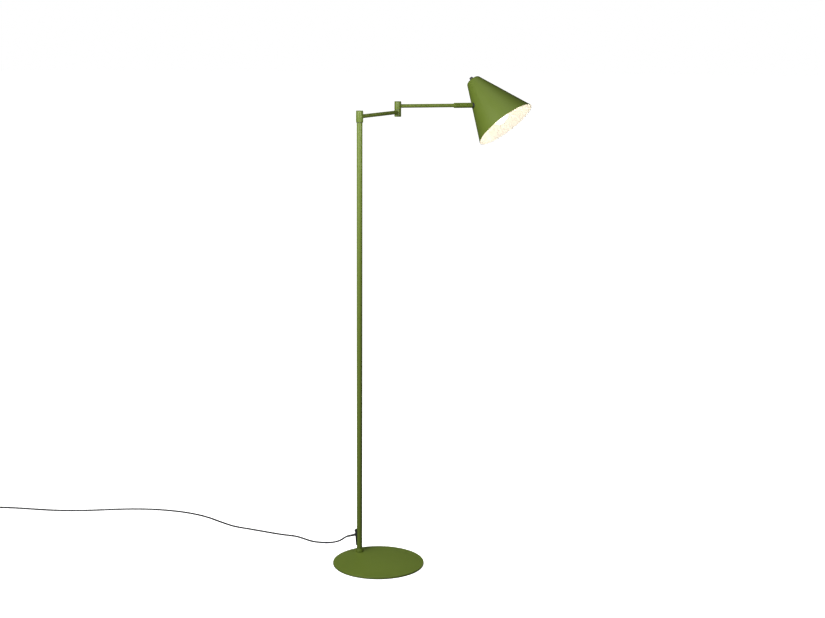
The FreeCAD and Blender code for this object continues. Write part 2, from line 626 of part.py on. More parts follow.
def make_elbow_lower():
    """Arm 1's half of the elbow: housing, bottom cap, hollow spindle, stop pin, washers and nut."""
    wall = "housing_dia / 2 - housing_wall"
    roof = "elbow_seam - elbow_roof"
    hole = "spindle_dia / 2"
    cup = turned("elbow_lower_cup", [("housing_dia / 2", "elbow_bottom"), ("housing_dia / 2", "elbow_seam"),
                                     (hole, "elbow_seam"), (hole, roof), (wall, roof),
                                     (wall, "elbow_bottom")])
    rounded(cup, [("housing_dia / 2", "elbow_seam")], "housing_edge_round / 2")
    pin_root = number("elbow_seam - stop_pin_root")
    pin_place = FreeCAD.Placement(VECTOR(size("stop_pin_circle") / 2, 0, pin_root), FreeCAD.Rotation())
    socket = rod("elbow_pin_socket", "stop_pin_dia / 2", "stop_pin_root", pin_place)
    keep(cut("elbow_lower_housing", cup, [arm_way("elbow_arm_1_way", "arm_1_height"), socket]),
         ELBOW_LOWER_FRAME)
    keep(end_cap("elbow_bottom_cap", "elbow_bottom", -1), ELBOW_LOWER_FRAME)

    flange = roof + " - spindle_flange_height"
    floor = "elbow_seam + seam_washer_height + elbow_floor"
    top = floor + " + thin_washer_height + elbow_nut_height + 0.6"
    spindle = turned("elbow_spindle", [
        ("spindle_bore / 2", flange), ("spindle_flange_dia / 2", flange), ("spindle_flange_dia / 2", roof),
        (hole, roof), (hole, top), ("spindle_bore / 2", top)])
    keep(spindle, ELBOW_LOWER_FRAME)
    pin = rod("elbow_stop_pin", "stop_pin_dia / 2", "stop_pin_root + seam_washer_height + stop_pin_rise",
              pin_place)
    keep(pin, ELBOW_LOWER_FRAME.multiply(pin_place))
    keep(washer("elbow_washer", "seam_washer_dia", "seam_washer_bore", "elbow_seam", "seam_washer_height"),
         ELBOW_LOWER_FRAME)
    keep(washer("elbow_friction_washer", "thin_washer_dia - 1", "spindle_dia", floor, "thin_washer_height"),
         ELBOW_LOWER_FRAME)
    keep(nut("elbow_nut", "elbow_nut_flats", "elbow_nut_height", floor + " + thin_washer_height",
             "spindle_dia"),
         ELBOW_LOWER_FRAME)


def make_elbow_upper():
    """Arm 2's half of the elbow: the turning cup and its top cap."""
    low = "elbow_seam + seam_washer_height"
    floor = low + " + elbow_floor"
    wall = "housing_dia / 2 - housing_wall"
    bore = "spindle_dia / 2 + running_gap"
    cup = turned("elbow_upper_cup", [(bore, low), ("housing_dia / 2", low), ("housing_dia / 2", "elbow_top"),
                                     (wall, "elbow_top"), (wall, floor), (bore, floor)])
    rounded(cup, [("housing_dia / 2", low)], "housing_edge_round / 2")
    groove = stop_groove("elbow_groove", low, "elbow_groove_angle")
    keep(cut("elbow_upper_housing", cup, [groove, arm_way("elbow_arm_2_way", "arm_2_height")]),
         ELBOW_UPPER_FRAME)
    keep(end_cap("elbow_top_cap", "elbow_top", 1), ELBOW_UPPER_FRAME)


# ---------------------------------------------------------------- swivel at the end of arm 2
def make_sleeve():
    """The collar on the arm's end and the sleeve that holds the swivel."""
    arm = "arm_dia / 2"
    outer = "sleeve_dia / 2"
    spigot_end = "sleeve_start + collar_spigot"
    collar = turned("arm_2_collar", [
        (arm, "collar_start"), (outer, "collar_start"), (outer, "sleeve_start"),
        ("sleeve_bore / 2", "sleeve_start"),
        ("sleeve_bore / 2", spigot_end), ("arm_dia / 2 - arm_wall", spigot_end),
        ("arm_dia / 2 - arm_wall", "arm_2_end"), (arm, "arm_2_end")])
    rounded(collar, [(outer, "collar_start")], "housing_edge_round")
    keep(collar, ARM_2_FRAME)
    wall = "sleeve_end - sleeve_end_wall"
    bore = "spindle_dia / 2 + running_gap"
    sleeve = turned("swivel_sleeve", [
        ("sleeve_bore / 2", "sleeve_start"), (outer, "sleeve_start"), (outer, "sleeve_end"),
        (bore, "sleeve_end"),
        (bore, wall), ("sleeve_bore / 2", wall)])
    rounded(sleeve, [(outer, "sleeve_end"), (outer, "sleeve_start")], "housing_edge_round / 2")
    keep(sleeve, ARM_2_FRAME)


def shade_cone(name, shrink):
    """The solid cone inside the shade's outer face, smaller by the given wall, in arm 2's frame."""
    cone = doc.addObject("Part::Cone", name)
    cone.setExpression("Radius1", bound("shade_mouth_radius - %s" % shrink))
    cone.setExpression("Radius2", bound("shade_top_radius - %s" % shrink))
    cone.setExpression("Height", bound("shade_length"))
    cone.Placement = ARM_2_FRAME.inverse().multiply(SHADE_FRAME)
    return cone


def make_swivel():
    """The pieces that turn with the shade: hollow spindle, washers, nuts and the dark ring."""
    end = "shade_station + swivel_reach"
    spindle = [("spindle_bore / 2", "swivel_spindle_start"), ("spindle_dia / 2", "swivel_spindle_start"),
               ("spindle_dia / 2", end), ("spindle_bore / 2", end)]
    keep(turned("swivel_spindle", spindle), ARM_2_FRAME)
    wall = "sleeve_end - sleeve_end_wall"
    first = wall + " - thin_washer_height"
    second = first + " - spring_washer_height"
    small = "sleeve_bore - 1"
    keep(washer("swivel_friction_washer", small, "spindle_dia", first, "thin_washer_height"), ARM_2_FRAME)
    keep(washer("swivel_spring_washer", small + " - 0.6", "spindle_dia", second, "spring_washer_height"),
         ARM_2_FRAME)
    keep(nut("swivel_nut", "swivel_nut_flats", "swivel_nut_height", second + " - swivel_nut_height",
             "spindle_dia"),
         ARM_2_FRAME)

    start = "sleeve_end + swivel_gap"
    ring = washer("swivel_ring_blank", "sleeve_dia", "spindle_dia", start, "swivel_ring_height")
    keep(cut("swivel_ring", ring, [shade_cone("swivel_ring_seat", "0")]), ARM_2_FRAME)

    face = "shade_station + shade_wall"
    seat = face + " + inner_washer_height"
    blank = washer("inner_washer_blank", "inner_washer_dia", "spindle_dia", "shade_station",
                   "shade_wall + inner_washer_height")
    seated = doc.addObject("Part::Common", "shade_inner_washer")
    seated.Label = "shade_inner_washer"
    seated.Base = blank
    seated.Tool = shade_cone("inner_washer_seat", "shade_wall / %.6f" % math.cos(shade_slope()))
    doc.recompute()
    keep(seated, ARM_2_FRAME)
    keep(nut("shade_nut", "shoulder_nut_flats", "shade_nut_height", seat, "spindle_dia"), ARM_2_FRAME)


# ---------------------------------------------------------------- shade and switch
def make_shade():
    """The spun shade: a thin cone with a rounded closed top, drilled for switch and swivel."""
    top = "shade_length"
    lean = math.cos(shade_slope())
    thick = "shade_wall / %.6f" % lean
    drop = "shade_length - shade_wall"
    inside_top = "shade_top_radius - %s + shade_wall * %.6f" % (thick, math.tan(shade_slope()))
    shell = turned("shade_blank", [
        ("shade_mouth_radius - " + thick, "0"), ("shade_mouth_radius", "0"), ("shade_top_radius", top),
        ("0", top),
        ("0", drop), (inside_top, drop)])
    rounded(shell, [("shade_top_radius", top)], "shade_top_round")
    rounded(shell, [(inside_top, drop)], "shade_top_round - shade_wall")
    neck = rod("shade_neck_hole", "top_hole_dia / 2", "shade_wall * 3",
               at(0, 0, number(top + " - 2 * shade_wall")))
    local = SHADE_FRAME.inverse().multiply(ARM_2_FRAME)
    start = local.multiply(at(0, 0, number("shade_station - side_hole_start")))
    side = rod("shade_side_hole", "spindle_dia / 2", "side_hole_depth", start)
    keep(cut("shade_shell", shell, [neck, side]), SHADE_FRAME)


def make_switch():
    """The rotary switch under the shade's top, its ring nut, and the knob on its shaft."""
    ceiling = "shade_length - shade_wall"
    low = "shade_length - shade_wall - switch_height"
    can = turned("switch_can", [
        ("0", low), ("switch_dia / 2", low), ("switch_dia / 2", ceiling + " - shade_wall"),
        ("switch_dia / 2 - 2 * shade_wall", ceiling), ("0", ceiling)])
    neck = rod("switch_neck", "switch_neck_dia / 2", "switch_neck_rise + 2 * shade_wall",
               at(0, 0, number("shade_length - 2 * shade_wall")))
    bore = rod("switch_bore", "shaft_dia / 2 + running_gap", "shade_length", at(0, 0, size("shaft_bottom")))
    entry = rod("switch_entry", "cable_dia / 2", "switch_dia / 2", facing(
        VECTOR(size("switch_dia") / 4, 0, size("switch_entry_height")), VECTOR(1, 0, 0), UP))
    keep(cut("switch_body", joined("switch_blank", [can, neck]), [bore, entry]), SHADE_FRAME)
    ring = washer("switch_ring_nut", "switch_nut_dia", "switch_neck_dia", "shade_length", "switch_nut_height")
    rounded(ring, [("switch_nut_dia / 2", "shade_length + switch_nut_height")], "housing_edge_round")
    keep(ring, SHADE_FRAME)

    stem = rod("switch_shaft", "shaft_dia / 2", "shaft_top - shaft_bottom - running_gap")
    keep(stem, SHADE_FRAME.multiply(at(0, 0, number("shaft_bottom + running_gap"))))
    high = "knob_bottom + knob_height"
    rim = "knob_dia / 2 - knob_taper"
    knob = turned("switch_knob_blank", [
        ("shaft_dia / 2", "knob_bottom"), ("knob_dia / 2", "knob_bottom"), (rim, high), ("0", high),
        ("0", "shaft_top"), ("shaft_dia / 2", "shaft_top")])
    rounded(knob, [(rim, high)], "knob_round")
    flutes = []
    first = VECTOR(number("knob_dia / 2 + flute_offset"), 0, number("knob_bottom - 1"))
    for index in range(round(size("flute_count"))):
        spot = FreeCAD.Rotation(UP, index * 360 / size("flute_count")).multVec(first)
        flutes.append(rod("knob_flute", "flute_dia / 2", "knob_height + 2", at(spot.x, spot.y, spot.z)))
    keep(cut("switch_knob", knob, flutes), SHADE_FRAME)


# ---------------------------------------------------------------- lamp holder and bulb
def make_holder():
    """The lamp holder below the switch, its contact and the bulb screwed into it."""
    top = "shade_length - shade_wall - switch_height"
    low = top + " - holder_height"
    floor = low + " + holder_bore_depth"
    holder = turned("lamp_holder", [
        ("holder_bore / 2", low), ("holder_dia / 2 - holder_lip", low),
        ("holder_dia / 2", low + " + holder_skirt"),
        ("holder_dia / 2", top + " - holder_shoulder"), ("holder_dia / 2 - holder_lip * 2", top), ("0", top),
        ("0", floor),
        ("holder_bore / 2", floor)])
    keep(holder, SHADE_FRAME)
    under = floor + " - contact_height"
    contact = [("0", under), ("contact_dia / 2", under), ("contact_dia / 2", floor), ("0", floor)]
    keep(turned("holder_contact", contact), SHADE_FRAME)
    make_bulb(under)


def make_bulb(contact):
    """A frosted A60 bulb: tip, screw cap and glass, hanging from the holder's contact."""
    tip_low = contact + " - bulb_tip_height"
    narrow = "bulb_cap_dia / 2 - bulb_lip"
    tip = [("0", tip_low), (narrow, tip_low), ("bulb_tip_dia / 2", contact), ("0", contact)]
    keep(turned("bulb_tip", tip), SHADE_FRAME)
    cap_low = tip_low + " - bulb_cap_height"
    rim = "bulb_cap_dia / 2"
    floor = tip_low + " - cap_taper"
    inside = "bulb_neck_dia / 2 - bulb_lip"
    cap = [(inside, cap_low), (rim, cap_low), (rim, floor), (narrow, tip_low), ("0", tip_low), ("0", floor),
           (inside, floor)]
    keep(turned("bulb_cap", cap), SHADE_FRAME)
    keep(bulb_glass(number(cap_low), number(contact + " - bulb_length")), SHADE_FRAME)


def bulb_glass(neck_end, crown):
    """The hollow glass: an outer shape less the same shape one wall smaller, open at the neck."""
    wall = size("bulb_glass")
    top = neck_end + size("bulb_glass_lap")
    glass = doc.addObject("Part::Feature", "bulb_globe")
    glass.Label = "bulb_globe"
    glass.Shape = bulb_form(0, neck_end, crown, top).cut(bulb_form(wall, neck_end + wall, crown + wall,
                                                                   top + wall))
    return glass


def bulb_form(inset, neck_end, crown, top):
    """A solid of revolution: most of a sphere that runs into the neck on a smooth curve."""
    radius = size("bulb_dia") / 2 - inset
    neck = size("bulb_neck_dia") / 2 - inset
    spigot = neck - size("bulb_lip")
    centre = crown + radius
    swell = math.radians(size("bulb_swell"))
    side = VECTOR(radius * math.cos(swell), 0, centre + radius * math.sin(swell))
    belly = VECTOR(radius * math.cos(swell), 0, centre - radius * math.sin(swell))
    flow = VECTOR(-math.sin(swell), 0, math.cos(swell))
    lip = VECTOR(neck, 0, neck_end)
    shoulder = Part.BezierCurve()
    shoulder.setPoles([side, side + flow * size("bulb_flow"), lip - UP * size("bulb_neck_flow"), lip])
    corners = [lip, VECTOR(spigot, 0, neck_end), VECTOR(spigot, 0, top), VECTOR(0, 0, top),
               VECTOR(0, 0, crown)]
    edges = [Part.Arc(VECTOR(0, 0, crown), belly, side).toShape(), shoulder.toShape()]
    edges += [Part.LineSegment(first, last).toShape() for first, last in zip(corners, corners[1:])]
    return Part.makeSolid(Part.Face(Part.Wire(edges)).revolve(VECTOR(), UP, 360))


# ---------------------------------------------------------------- cable inside the tubes
def make_cables():
    """The mains cable's hidden lengths, one in each moving body, meeting on the spindles' axes."""
    thin = size("cable_dia")
    tight = size("cable_bend")
    gap = size("cable_gap")
    exit_height = size("cord_exit_height")
    spindle_top = size("shoulder_spindle_top")
    start = VECTOR(-size("post_dia") / 2 - 1, 0, exit_height)
    post = [start, VECTOR(0, 0, exit_height), VECTOR(0, 0, spindle_top - gap)]
    round_tube("post_cable", post, [size("post_cable_bend")], size("post_cable_dia"), POST_FRAME)

    reach = size("arm_1_length")
    level = size("arm_1_height")
    top = size("elbow_seam") - 1
    arm_1 = [VECTOR(0, 0, spindle_top), VECTOR(0, 0, level), VECTOR(reach, 0, level), VECTOR(reach, 0, top)]
    radii = [(level - spindle_top) * 0.95, (top - level) * 0.9]
    round_tube("arm_1_cable", arm_1, radii, thin, SHOULDER_FRAME)

    level = size("arm_2_height")
    end = size("swivel_spindle_start") + 4
    arm_2 = [VECTOR(0, 0, top + gap / 4), VECTOR(0, 0, level), VECTOR(end, 0, level)]
    round_tube("arm_2_cable", arm_2, [tight], thin, ELBOW_UPPER_FRAME)
    make_holder_cable(end + gap / 4)


def make_holder_cable(start_station):
    """The cable from the swivel up the shade's inside to the switch, in the shade's own frame."""
    pitch = shade_slope() + math.radians(size("shade_lean"))
    wall = size("shade_mouth_radius") - size("swivel_height") * math.tan(shade_slope())
    inward = VECTOR(-math.cos(pitch), 0, -math.sin(pitch))
    port = VECTOR(wall, 0, size("swivel_height"))
    start = port - inward * (size("shade_station") - start_station)
    leave = port + inward * (size("swivel_reach") + 8)
    climb = size("holder_cable_reach")
    entry = size("switch_entry_height")
    foot = VECTOR(climb, 0, size("swivel_height") + size("holder_cable_rise"))
    route = [start, leave, foot, VECTOR(climb - 1, 0, entry), VECTOR(size("switch_dia") / 2 - 4, 0, entry)]
    round_tube("holder_cable", route, [8, 12, 6], size("cable_dia"), SHADE_FRAME)


# ---------------------------------------------------------------- build and write
def build():
    """Make every piece in assembly order."""
    make_base()
    make_post()
    make_outlet()
    make_shoulder_core()
    make_shoulder_housing()
    make_arm("arm_1_tube", ARM_1_FRAME, "arm_1_length - arm_end_gap")
    make_elbow_lower()
    make_elbow_upper()
    make_arm("arm_2_tube", ARM_2_FRAME, "arm_2_end")
    make_sleeve()
    make_swivel()
    make_shade()
    make_switch()
    make_holder()
    make_cables()
    make_cord()


def check():
    """Stop before writing if any object failed or any piece is unsound."""
    doc.recompute()
    for item in doc.Objects:
        failed = [state for state in item.State if state in ("Invalid", "Error")]
        assert not failed, item.Label + " failed to recompute"
    for label, item in pieces.items():
        assert label == item.Label and "001" not in label, label + " is not the piece's own name"
        assert not item.Shape.isNull() and item.Shape.isValid(), label + " has a bad shape"
        assert item.Shape.Solids, label + " holds no solid"


def write():
    """One STEP file for each piece."""
    os.makedirs("parts", exist_ok=True)
    for label, item in pieces.items():
        item.Shape.exportStep("parts/%s.step" % label)
    print("%d pieces written" % len(pieces))


def show(title, vector):
    """Print a vector's three numbers."""
    print("%s [%.4f, %.4f, %.6f]" % (title, vector.x, vector.y, vector.z))


def report():
    """Print the joint axes and the overall box, for the record."""
    low = VECTOR(1e9, 1e9, 1e9)
    high = VECTOR(-1e9, -1e9, -1e9)
    for item in pieces.values():
        box = item.Shape.optimalBoundingBox(False)
        low = VECTOR(min(low.x, box.XMin), min(low.y, box.YMin), min(low.z, box.ZMin))
        high = VECTOR(max(high.x, box.XMax), max(high.y, box.YMax), max(high.z, box.ZMax))
    show("lowest corner", low)
    show("highest corner", high)
    show("shoulder axis at", POST_FOOT)
    show("elbow axis at", ELBOW)
    show("arm 2 along", ARM_2_WAY)
    show("mouth middle", SHADE_FRAME.Base)
    show("shade axis up", SHADE_FRAME.Rotation.multVec(UP))


build()
check()
write()
report()
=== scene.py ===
# %% [markdown]
# # Adjustable arm floor lamp
#
# The CAD model gives every size and every place. This lesson puts the looks on it: a satin olive
# coat on turned metal, a white lining lit by a frosted bulb, black mouldings and a rubber cord.
# Each step says what the piece is on the real lamp, how it could be made, and why it is made so.

# %% Load the fixed frame
import json
import math

import bmesh
import bpy
from mathutils import Matrix, Vector

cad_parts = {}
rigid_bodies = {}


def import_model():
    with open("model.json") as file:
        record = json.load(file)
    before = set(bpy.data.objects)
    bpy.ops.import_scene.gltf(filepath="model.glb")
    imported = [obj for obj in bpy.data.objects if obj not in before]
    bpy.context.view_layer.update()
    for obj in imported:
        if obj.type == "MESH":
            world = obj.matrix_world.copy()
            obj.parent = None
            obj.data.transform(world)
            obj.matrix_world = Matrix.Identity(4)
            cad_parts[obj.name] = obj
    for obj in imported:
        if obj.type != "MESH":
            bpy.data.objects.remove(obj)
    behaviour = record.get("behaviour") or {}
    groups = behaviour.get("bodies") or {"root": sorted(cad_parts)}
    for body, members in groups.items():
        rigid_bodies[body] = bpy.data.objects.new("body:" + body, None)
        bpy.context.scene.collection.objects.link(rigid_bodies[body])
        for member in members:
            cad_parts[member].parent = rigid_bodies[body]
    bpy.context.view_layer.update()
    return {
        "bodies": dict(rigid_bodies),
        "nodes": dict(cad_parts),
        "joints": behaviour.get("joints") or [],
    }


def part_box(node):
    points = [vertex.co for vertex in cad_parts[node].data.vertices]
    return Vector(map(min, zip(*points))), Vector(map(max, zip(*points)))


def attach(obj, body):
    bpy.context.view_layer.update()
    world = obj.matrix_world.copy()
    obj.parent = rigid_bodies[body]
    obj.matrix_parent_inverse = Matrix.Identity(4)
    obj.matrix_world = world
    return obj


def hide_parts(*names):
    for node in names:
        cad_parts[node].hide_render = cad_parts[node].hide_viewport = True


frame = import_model()
MM = 0.001

# %% Axes of the joints, read from the record
joint_at = {joint["name"]: Vector(joint["pos_m"]) for joint in frame["joints"]}
joint_axis = {joint["name"]: Vector(joint["axis"]) for joint in frame["joints"]}
UP = Vector((0, 0, 1))
POST = Vector((joint_at["shoulder_swing"].x, joint_at["shoulder_swing"].y, 0))
ELBOW = Vector((joint_at["elbow_swing"].x, joint_at["elbow_swing"].y, 0))
ARM_1_WAY = (ELBOW - POST).normalized()
ARM_2_WAY = joint_axis["shade_roll"].normalized()
SHADE_WAY = joint_axis["switch_turn"].normalized()
print("arm 1 is %.0f mm long" % ((ELBOW - POST).length / MM))


# %% [markdown]
# ## Camera and studio
#
# The camera stands a little above the elbow, about four metres away, with a portrait lens. A white
# floor and a white sky could be one curved backdrop, but a backdrop would hide the lamp from behind,
# so the floor is a wide plain disc and only the sky that the camera sees is white. Towards the lamp
# both are darker, as the black flags beside a studio table are: they leave the sides of the round
# post darker than its front. A large soft box high on the left lights the top of the lamp more
# than its foot, a small panel close to the arms lights their near side, a narrow lamp from above
# fills the base, and an even sun from overhead softens the rest.

# %% Camera
CAMERA_PLACE = (0.0929, -3.9844, 1.483)
CAMERA_PITCH = 10.52
CAMERA_ROLL = 0.40
CAMERA_LENS = 63.67
CAMERA_REACH = 200


def added(name, data):
    """A new object in the scene."""
    made = bpy.data.objects.new(name, data)
    bpy.context.scene.collection.objects.link(made)
    return made


def make_camera():
    """A camera that looks along +Y, pitched down and rolled a little."""
    camera = added("camera", bpy.data.cameras.new("camera"))
    pitch = Matrix.Rotation(math.radians(90 - CAMERA_PITCH), 4, "X")
    roll = Matrix.Rotation(math.radians(CAMERA_ROLL), 4, "Z")
    camera.matrix_world = Matrix.Translation(CAMERA_PLACE) @ pitch @ roll
    camera.data.lens = CAMERA_LENS
    camera.data.clip_end = CAMERA_REACH
    bpy.context.scene.camera = camera


make_camera()
print("lens %.1f mm, %.2f m from the post" % (CAMERA_LENS, (Vector(CAMERA_PLACE) - POST).length))

# %% Floor
FLOOR_RADIUS = 60
FLOOR_SIDES = 128
FLOOR_SEEN = 0.88
FLOOR_LIFT = 0.85
FLOOR_BOUNCE = 0.16
FLOOR_ROUGHNESS = 0.9
FLOOR_SPECULAR = 0.1
WHITE = (1, 1, 1, 1)


def feed(tree, socket, source):
    """Link a socket, or set its value where the source is a plain value."""
    if isinstance(source, bpy.types.NodeSocket):
        tree.links.new(source, socket)
    elif source is not None:
        socket.default_value = source


def node(tree, kind, settings=None, **sources):
    """A new node with its settings and its inputs, named with _ for a space."""
    made = tree.nodes.new(kind)
    for label, value in (settings or {}).items():
        setattr(made, label, value)
    for label, source in sources.items():
        feed(tree, made.inputs[label.replace("_", " ")], source)
    return made


def make_floor():
    """A wide disc: pale to the camera, grey to every other ray."""
    ring = bmesh.new()
    bmesh.ops.create_circle(ring, cap_ends=True, segments=FLOOR_SIDES, radius=FLOOR_RADIUS)
    mesh = bpy.data.meshes.new("studio_floor")
    ring.to_mesh(mesh)
    ring.free()
    mesh.materials.append(floor_paint())
    added("studio_floor", mesh)


def floor_paint():
    """Matt paint whose tone and slight glow depend on the kind of ray."""
    paint = bpy.data.materials.new("studio_floor_paint")
    paint.use_nodes = True
    tree = paint.node_tree
    shader = tree.nodes["Principled BSDF"]
    shader.inputs["Roughness"].default_value = FLOOR_ROUGHNESS
    shader.inputs["Specular IOR Level"].default_value = FLOOR_SPECULAR
    shader.inputs["Emission Color"].default_value = WHITE
    path = tree.nodes.new("ShaderNodeLightPath").outputs["Is Camera Ray"]
    for target, dark, pale in (("Base Color", FLOOR_BOUNCE, FLOOR_SEEN), ("Emission Strength", 0, FLOOR_LIFT)):
        span = node(tree, "ShaderNodeMapRange", Value=path, To_Min=dark, To_Max=pale)
        tree.links.new(span.outputs["Result"], shader.inputs[target])
    return paint


make_floor()
print("floor is %d m across" % (2 * FLOOR_RADIUS))

# %% Sky
SKY_SEEN = 1.0
SKY_LIGHT = 0.09


def make_sky():
    """White where the camera sees it, a dimmer grey for the light it gives."""
    world = bpy.data.worlds.new("studio_sky")
    bpy.context.scene.world = world
    world.use_nodes = True
    tree = world.node_tree
    tree.nodes.clear()
    out = tree.nodes.new("ShaderNodeOutputWorld")
    mix = tree.nodes.new("ShaderNodeMixShader")
    path = tree.nodes.new("ShaderNodeLightPath")
    for place, strength in ((1, SKY_LIGHT), (2, SKY_SEEN)):
        sky = node(tree, "ShaderNodeBackground", Color=WHITE, Strength=strength)
        tree.links.new(sky.outputs[0], mix.inputs[place])
    tree.links.new(path.outputs["Is Camera Ray"], mix.inputs[0])
    tree.links.new(mix.outputs[0], out.inputs["Surface"])


make_sky()
bpy.context.scene.view_settings.view_transform = "Standard"
print("sky is %.2f to the camera and gives %.2f of light" % (SKY_SEEN, SKY_LIGHT))

# %% Lights
SUN_STRENGTH = 0.55
SUN_SPREAD = 50
KEY_WATTS = 58
PANEL_WATTS = 3.2
BASE_WATTS = 62
BASE_LAMP_CONE = 9
BASE_LAMP_BLEND = 0.5
BASE_LAMP_SIZE = 0.2


def aimed(name, kind, place, target, energy):
    """A light that looks at a point."""
    data = bpy.data.lights.new(name, kind)
    data.energy = energy
    light = added(name, data)
    way = Vector(target) - Vector(place)
    light.matrix_world = Matrix.Translation(place) @ way.to_track_quat("-Z", "Y").to_matrix().to_4x4()
    return light


def soft_box(name, place, target, energy, wide, high):
    """A rectangular area light."""
    box = aimed(name, "AREA", place, target, energy)
    box.data.shape = "RECTANGLE"
    box.data.size = wide
    box.data.size_y = high
    return box


sun = aimed("overhead_sun", "SUN", (-0.3, -0.5, 4), (0, 0, 0), SUN_STRENGTH)
sun.data.angle = math.radians(SUN_SPREAD)
soft_box("key_soft_box", (-1.05, -1.15, 1.85), (0.0, 0.15, 0.85), KEY_WATTS, wide=0.8, high=0.9)
panel = soft_box("arm_panel", (0.30, -0.36, 1.34), (0.0, 0.2, 1.26), PANEL_WATTS, wide=0.22, high=0.22)
panel.visible_camera = False
base_lamp = aimed("base_lamp", "SPOT", (0.0, -0.1, 2.6), (0, 0, 0), BASE_WATTS)
base_lamp.data.spot_size = math.radians(BASE_LAMP_CONE)
base_lamp.data.spot_blend = BASE_LAMP_BLEND
base_lamp.data.shadow_soft_size = BASE_LAMP_SIZE


# %% [markdown]
# ## Mains cord
#
# A round black cord 5 mm thick leaves the post low on its left, drops to the floor behind the base
# and wanders off to the left. It could be a mesh swept along arcs, but that looks like bent wire. One
# NURBS spline of order 3 lies through the route as a real cord does. The spare length is wound in
# four and a quarter turns, tied, and ends in its plug. The turns are more points of the same spline.

# %% The route, in metres
CORD_THICK = 0.005
RELIEF_ROOT = Vector((-0.06964, 0.08159, 0.05750))
RELIEF_TIP = Vector((-0.09302, 0.08159, 0.05210))
CORD_ROUTE = [
    (-0.101, 0.089, 0.0455), (-0.111, 0.099, 0.035), (-0.121, 0.115, 0.025), (-0.132, 0.133, 0.016),
    (-0.145, 0.149, 0.0086), (-0.161, 0.161, 0.004), (-0.180, 0.167, 0.0026), (-0.203, 0.175, 0.0026),
    (-0.228, 0.198, 0.0026), (-0.254, 0.221, 0.0026), (-0.297, 0.233, 0.0026), (-0.352, 0.259, 0.0026),
    (-0.406, 0.285, 0.0026), (-0.452, 0.305, 0.0026), (-0.497, 0.346, 0.0026), (-0.548, 0.396, 0.0026),
    (-0.609, 0.433, 0.0026), (-0.679, 0.457, 0.0026), (-0.754, 0.468, 0.0026), (-0.829, 0.465, 0.0026),
    (-0.903, 0.453, 0.0026), (-0.977, 0.445, 0.0026), (-1.052, 0.449, 0.0026), (-1.124, 0.462, 0.0026),
    (-1.188, 0.472, 0.0026), (-1.246, 0.475, 0.0026),
]
COIL_MIDDLE = Vector((-1.263, 0.4425, 0))
print("route has", len(CORD_ROUTE) + 1, "points before the coil")

# %% Turns of the stored coil
COIL_INNER = 0.0275
COIL_OUTER = 0.0325
COIL_LOW = 0.0034
COIL_HIGH = 0.0084
POINTS_PER_TURN = 14
COIL_TURNS = 4.25
COIL_START = 0.25
# radius and height of the lane that each turn lies in
COIL_LANES = [
    (COIL_OUTER, COIL_LOW), (COIL_INNER, COIL_LOW), (COIL_INNER, COIL_HIGH), (COIL_OUTER, COIL_HIGH),
    (COIL_OUTER, COIL_HIGH),
]
LANE_CHANGE = 0.25


def coil_turns():
    """Points of four and a quarter turns, counter-clockwise from the far side, lane by lane."""
    spots = []
    for step in range(1, int(COIL_TURNS * POINTS_PER_TURN) + 1):
        turn = step / POINTS_PER_TURN
        lane = min(int(turn), len(COIL_LANES) - 1)
        following = min(lane + 1, len(COIL_LANES) - 1)
        share = max(0.0, (turn - lane - 1 + LANE_CHANGE) / LANE_CHANGE)
        ease = share * share * (3 - 2 * share)
        radius = COIL_LANES[lane][0] * (1 - ease) + COIL_LANES[following][0] * ease
        height = COIL_LANES[lane][1] * (1 - ease) + COIL_LANES[following][1] * ease
        angle = math.tau * (COIL_START + turn)
        spots.append(COIL_MIDDLE + Vector((radius * math.cos(angle), radius * math.sin(angle), height)))
    return spots


CORD_TAIL = [(-1.2958, 0.4330, 0.0078), (-1.2962, 0.4200, 0.0062), (-1.2964, 0.4080, 0.0062),
             (-1.2964, 0.3965, 0.0067)]
print("coil has", len(coil_turns()), "points")


# %% The cord as one spline
SPLINE_ORDER = 3
SPLINE_STEPS = 6
SECTION_STEPS = 4


def spline_piece(name, spots, thickness):
    """One open NURBS spline of order 3 with a round section."""
    data = bpy.data.curves.new(name, "CURVE")
    data.dimensions = "3D"
    spline = data.splines.new("NURBS")
    spline.points.add(len(spots) - 1)
    for point, spot in zip(spline.points, spots):
        point.co = (*spot, 1)
        point.radius = thickness / 2
    spline.order_u = SPLINE_ORDER
    spline.use_endpoint_u = True
    data.resolution_u = SPLINE_STEPS
    # a curve's box grows by the radius of its points, so they carry the real one and the bevel is 1
    data.bevel_depth = 1
    data.bevel_resolution = SECTION_STEPS
    data.use_fill_caps = True
    return added(name, data)


cord = spline_piece("mains_cord", [RELIEF_TIP, *CORD_ROUTE, *coil_turns(), *CORD_TAIL], CORD_THICK)
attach(cord, "base")
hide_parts("cord_run", "cord_coil", "cord_tail")
print("cord spline has", len(cord.data.splines[0].points), "points")


# %% [markdown]
# ## Surface effects that materials share
#
# A sprayed coat, a moulding and a rubber all have a fine relief and slow changes of tone. Both could
# be painted in images, but then they would stretch on turned shapes. They are noise in object space
# instead, built once as node groups, and each material sets its own grain size and strength.

# %% Node group: fine relief of a surface
def new_group(kind, name, inputs, outputs):
    """An empty node group with named sockets: inputs are (label, kind), with a value where one is needed."""
    group = bpy.data.node_groups.new(name, kind)
    for label, socket_kind, *value in inputs:
        socket = group.interface.new_socket(label, in_out="INPUT", socket_type=socket_kind)
        if value:
            socket.default_value = value[0]
    for label, socket_kind in outputs:
        group.interface.new_socket(label, in_out="OUTPUT", socket_type=socket_kind)
    return group, group.nodes.new("NodeGroupInput").outputs, group.nodes.new("NodeGroupOutput").inputs


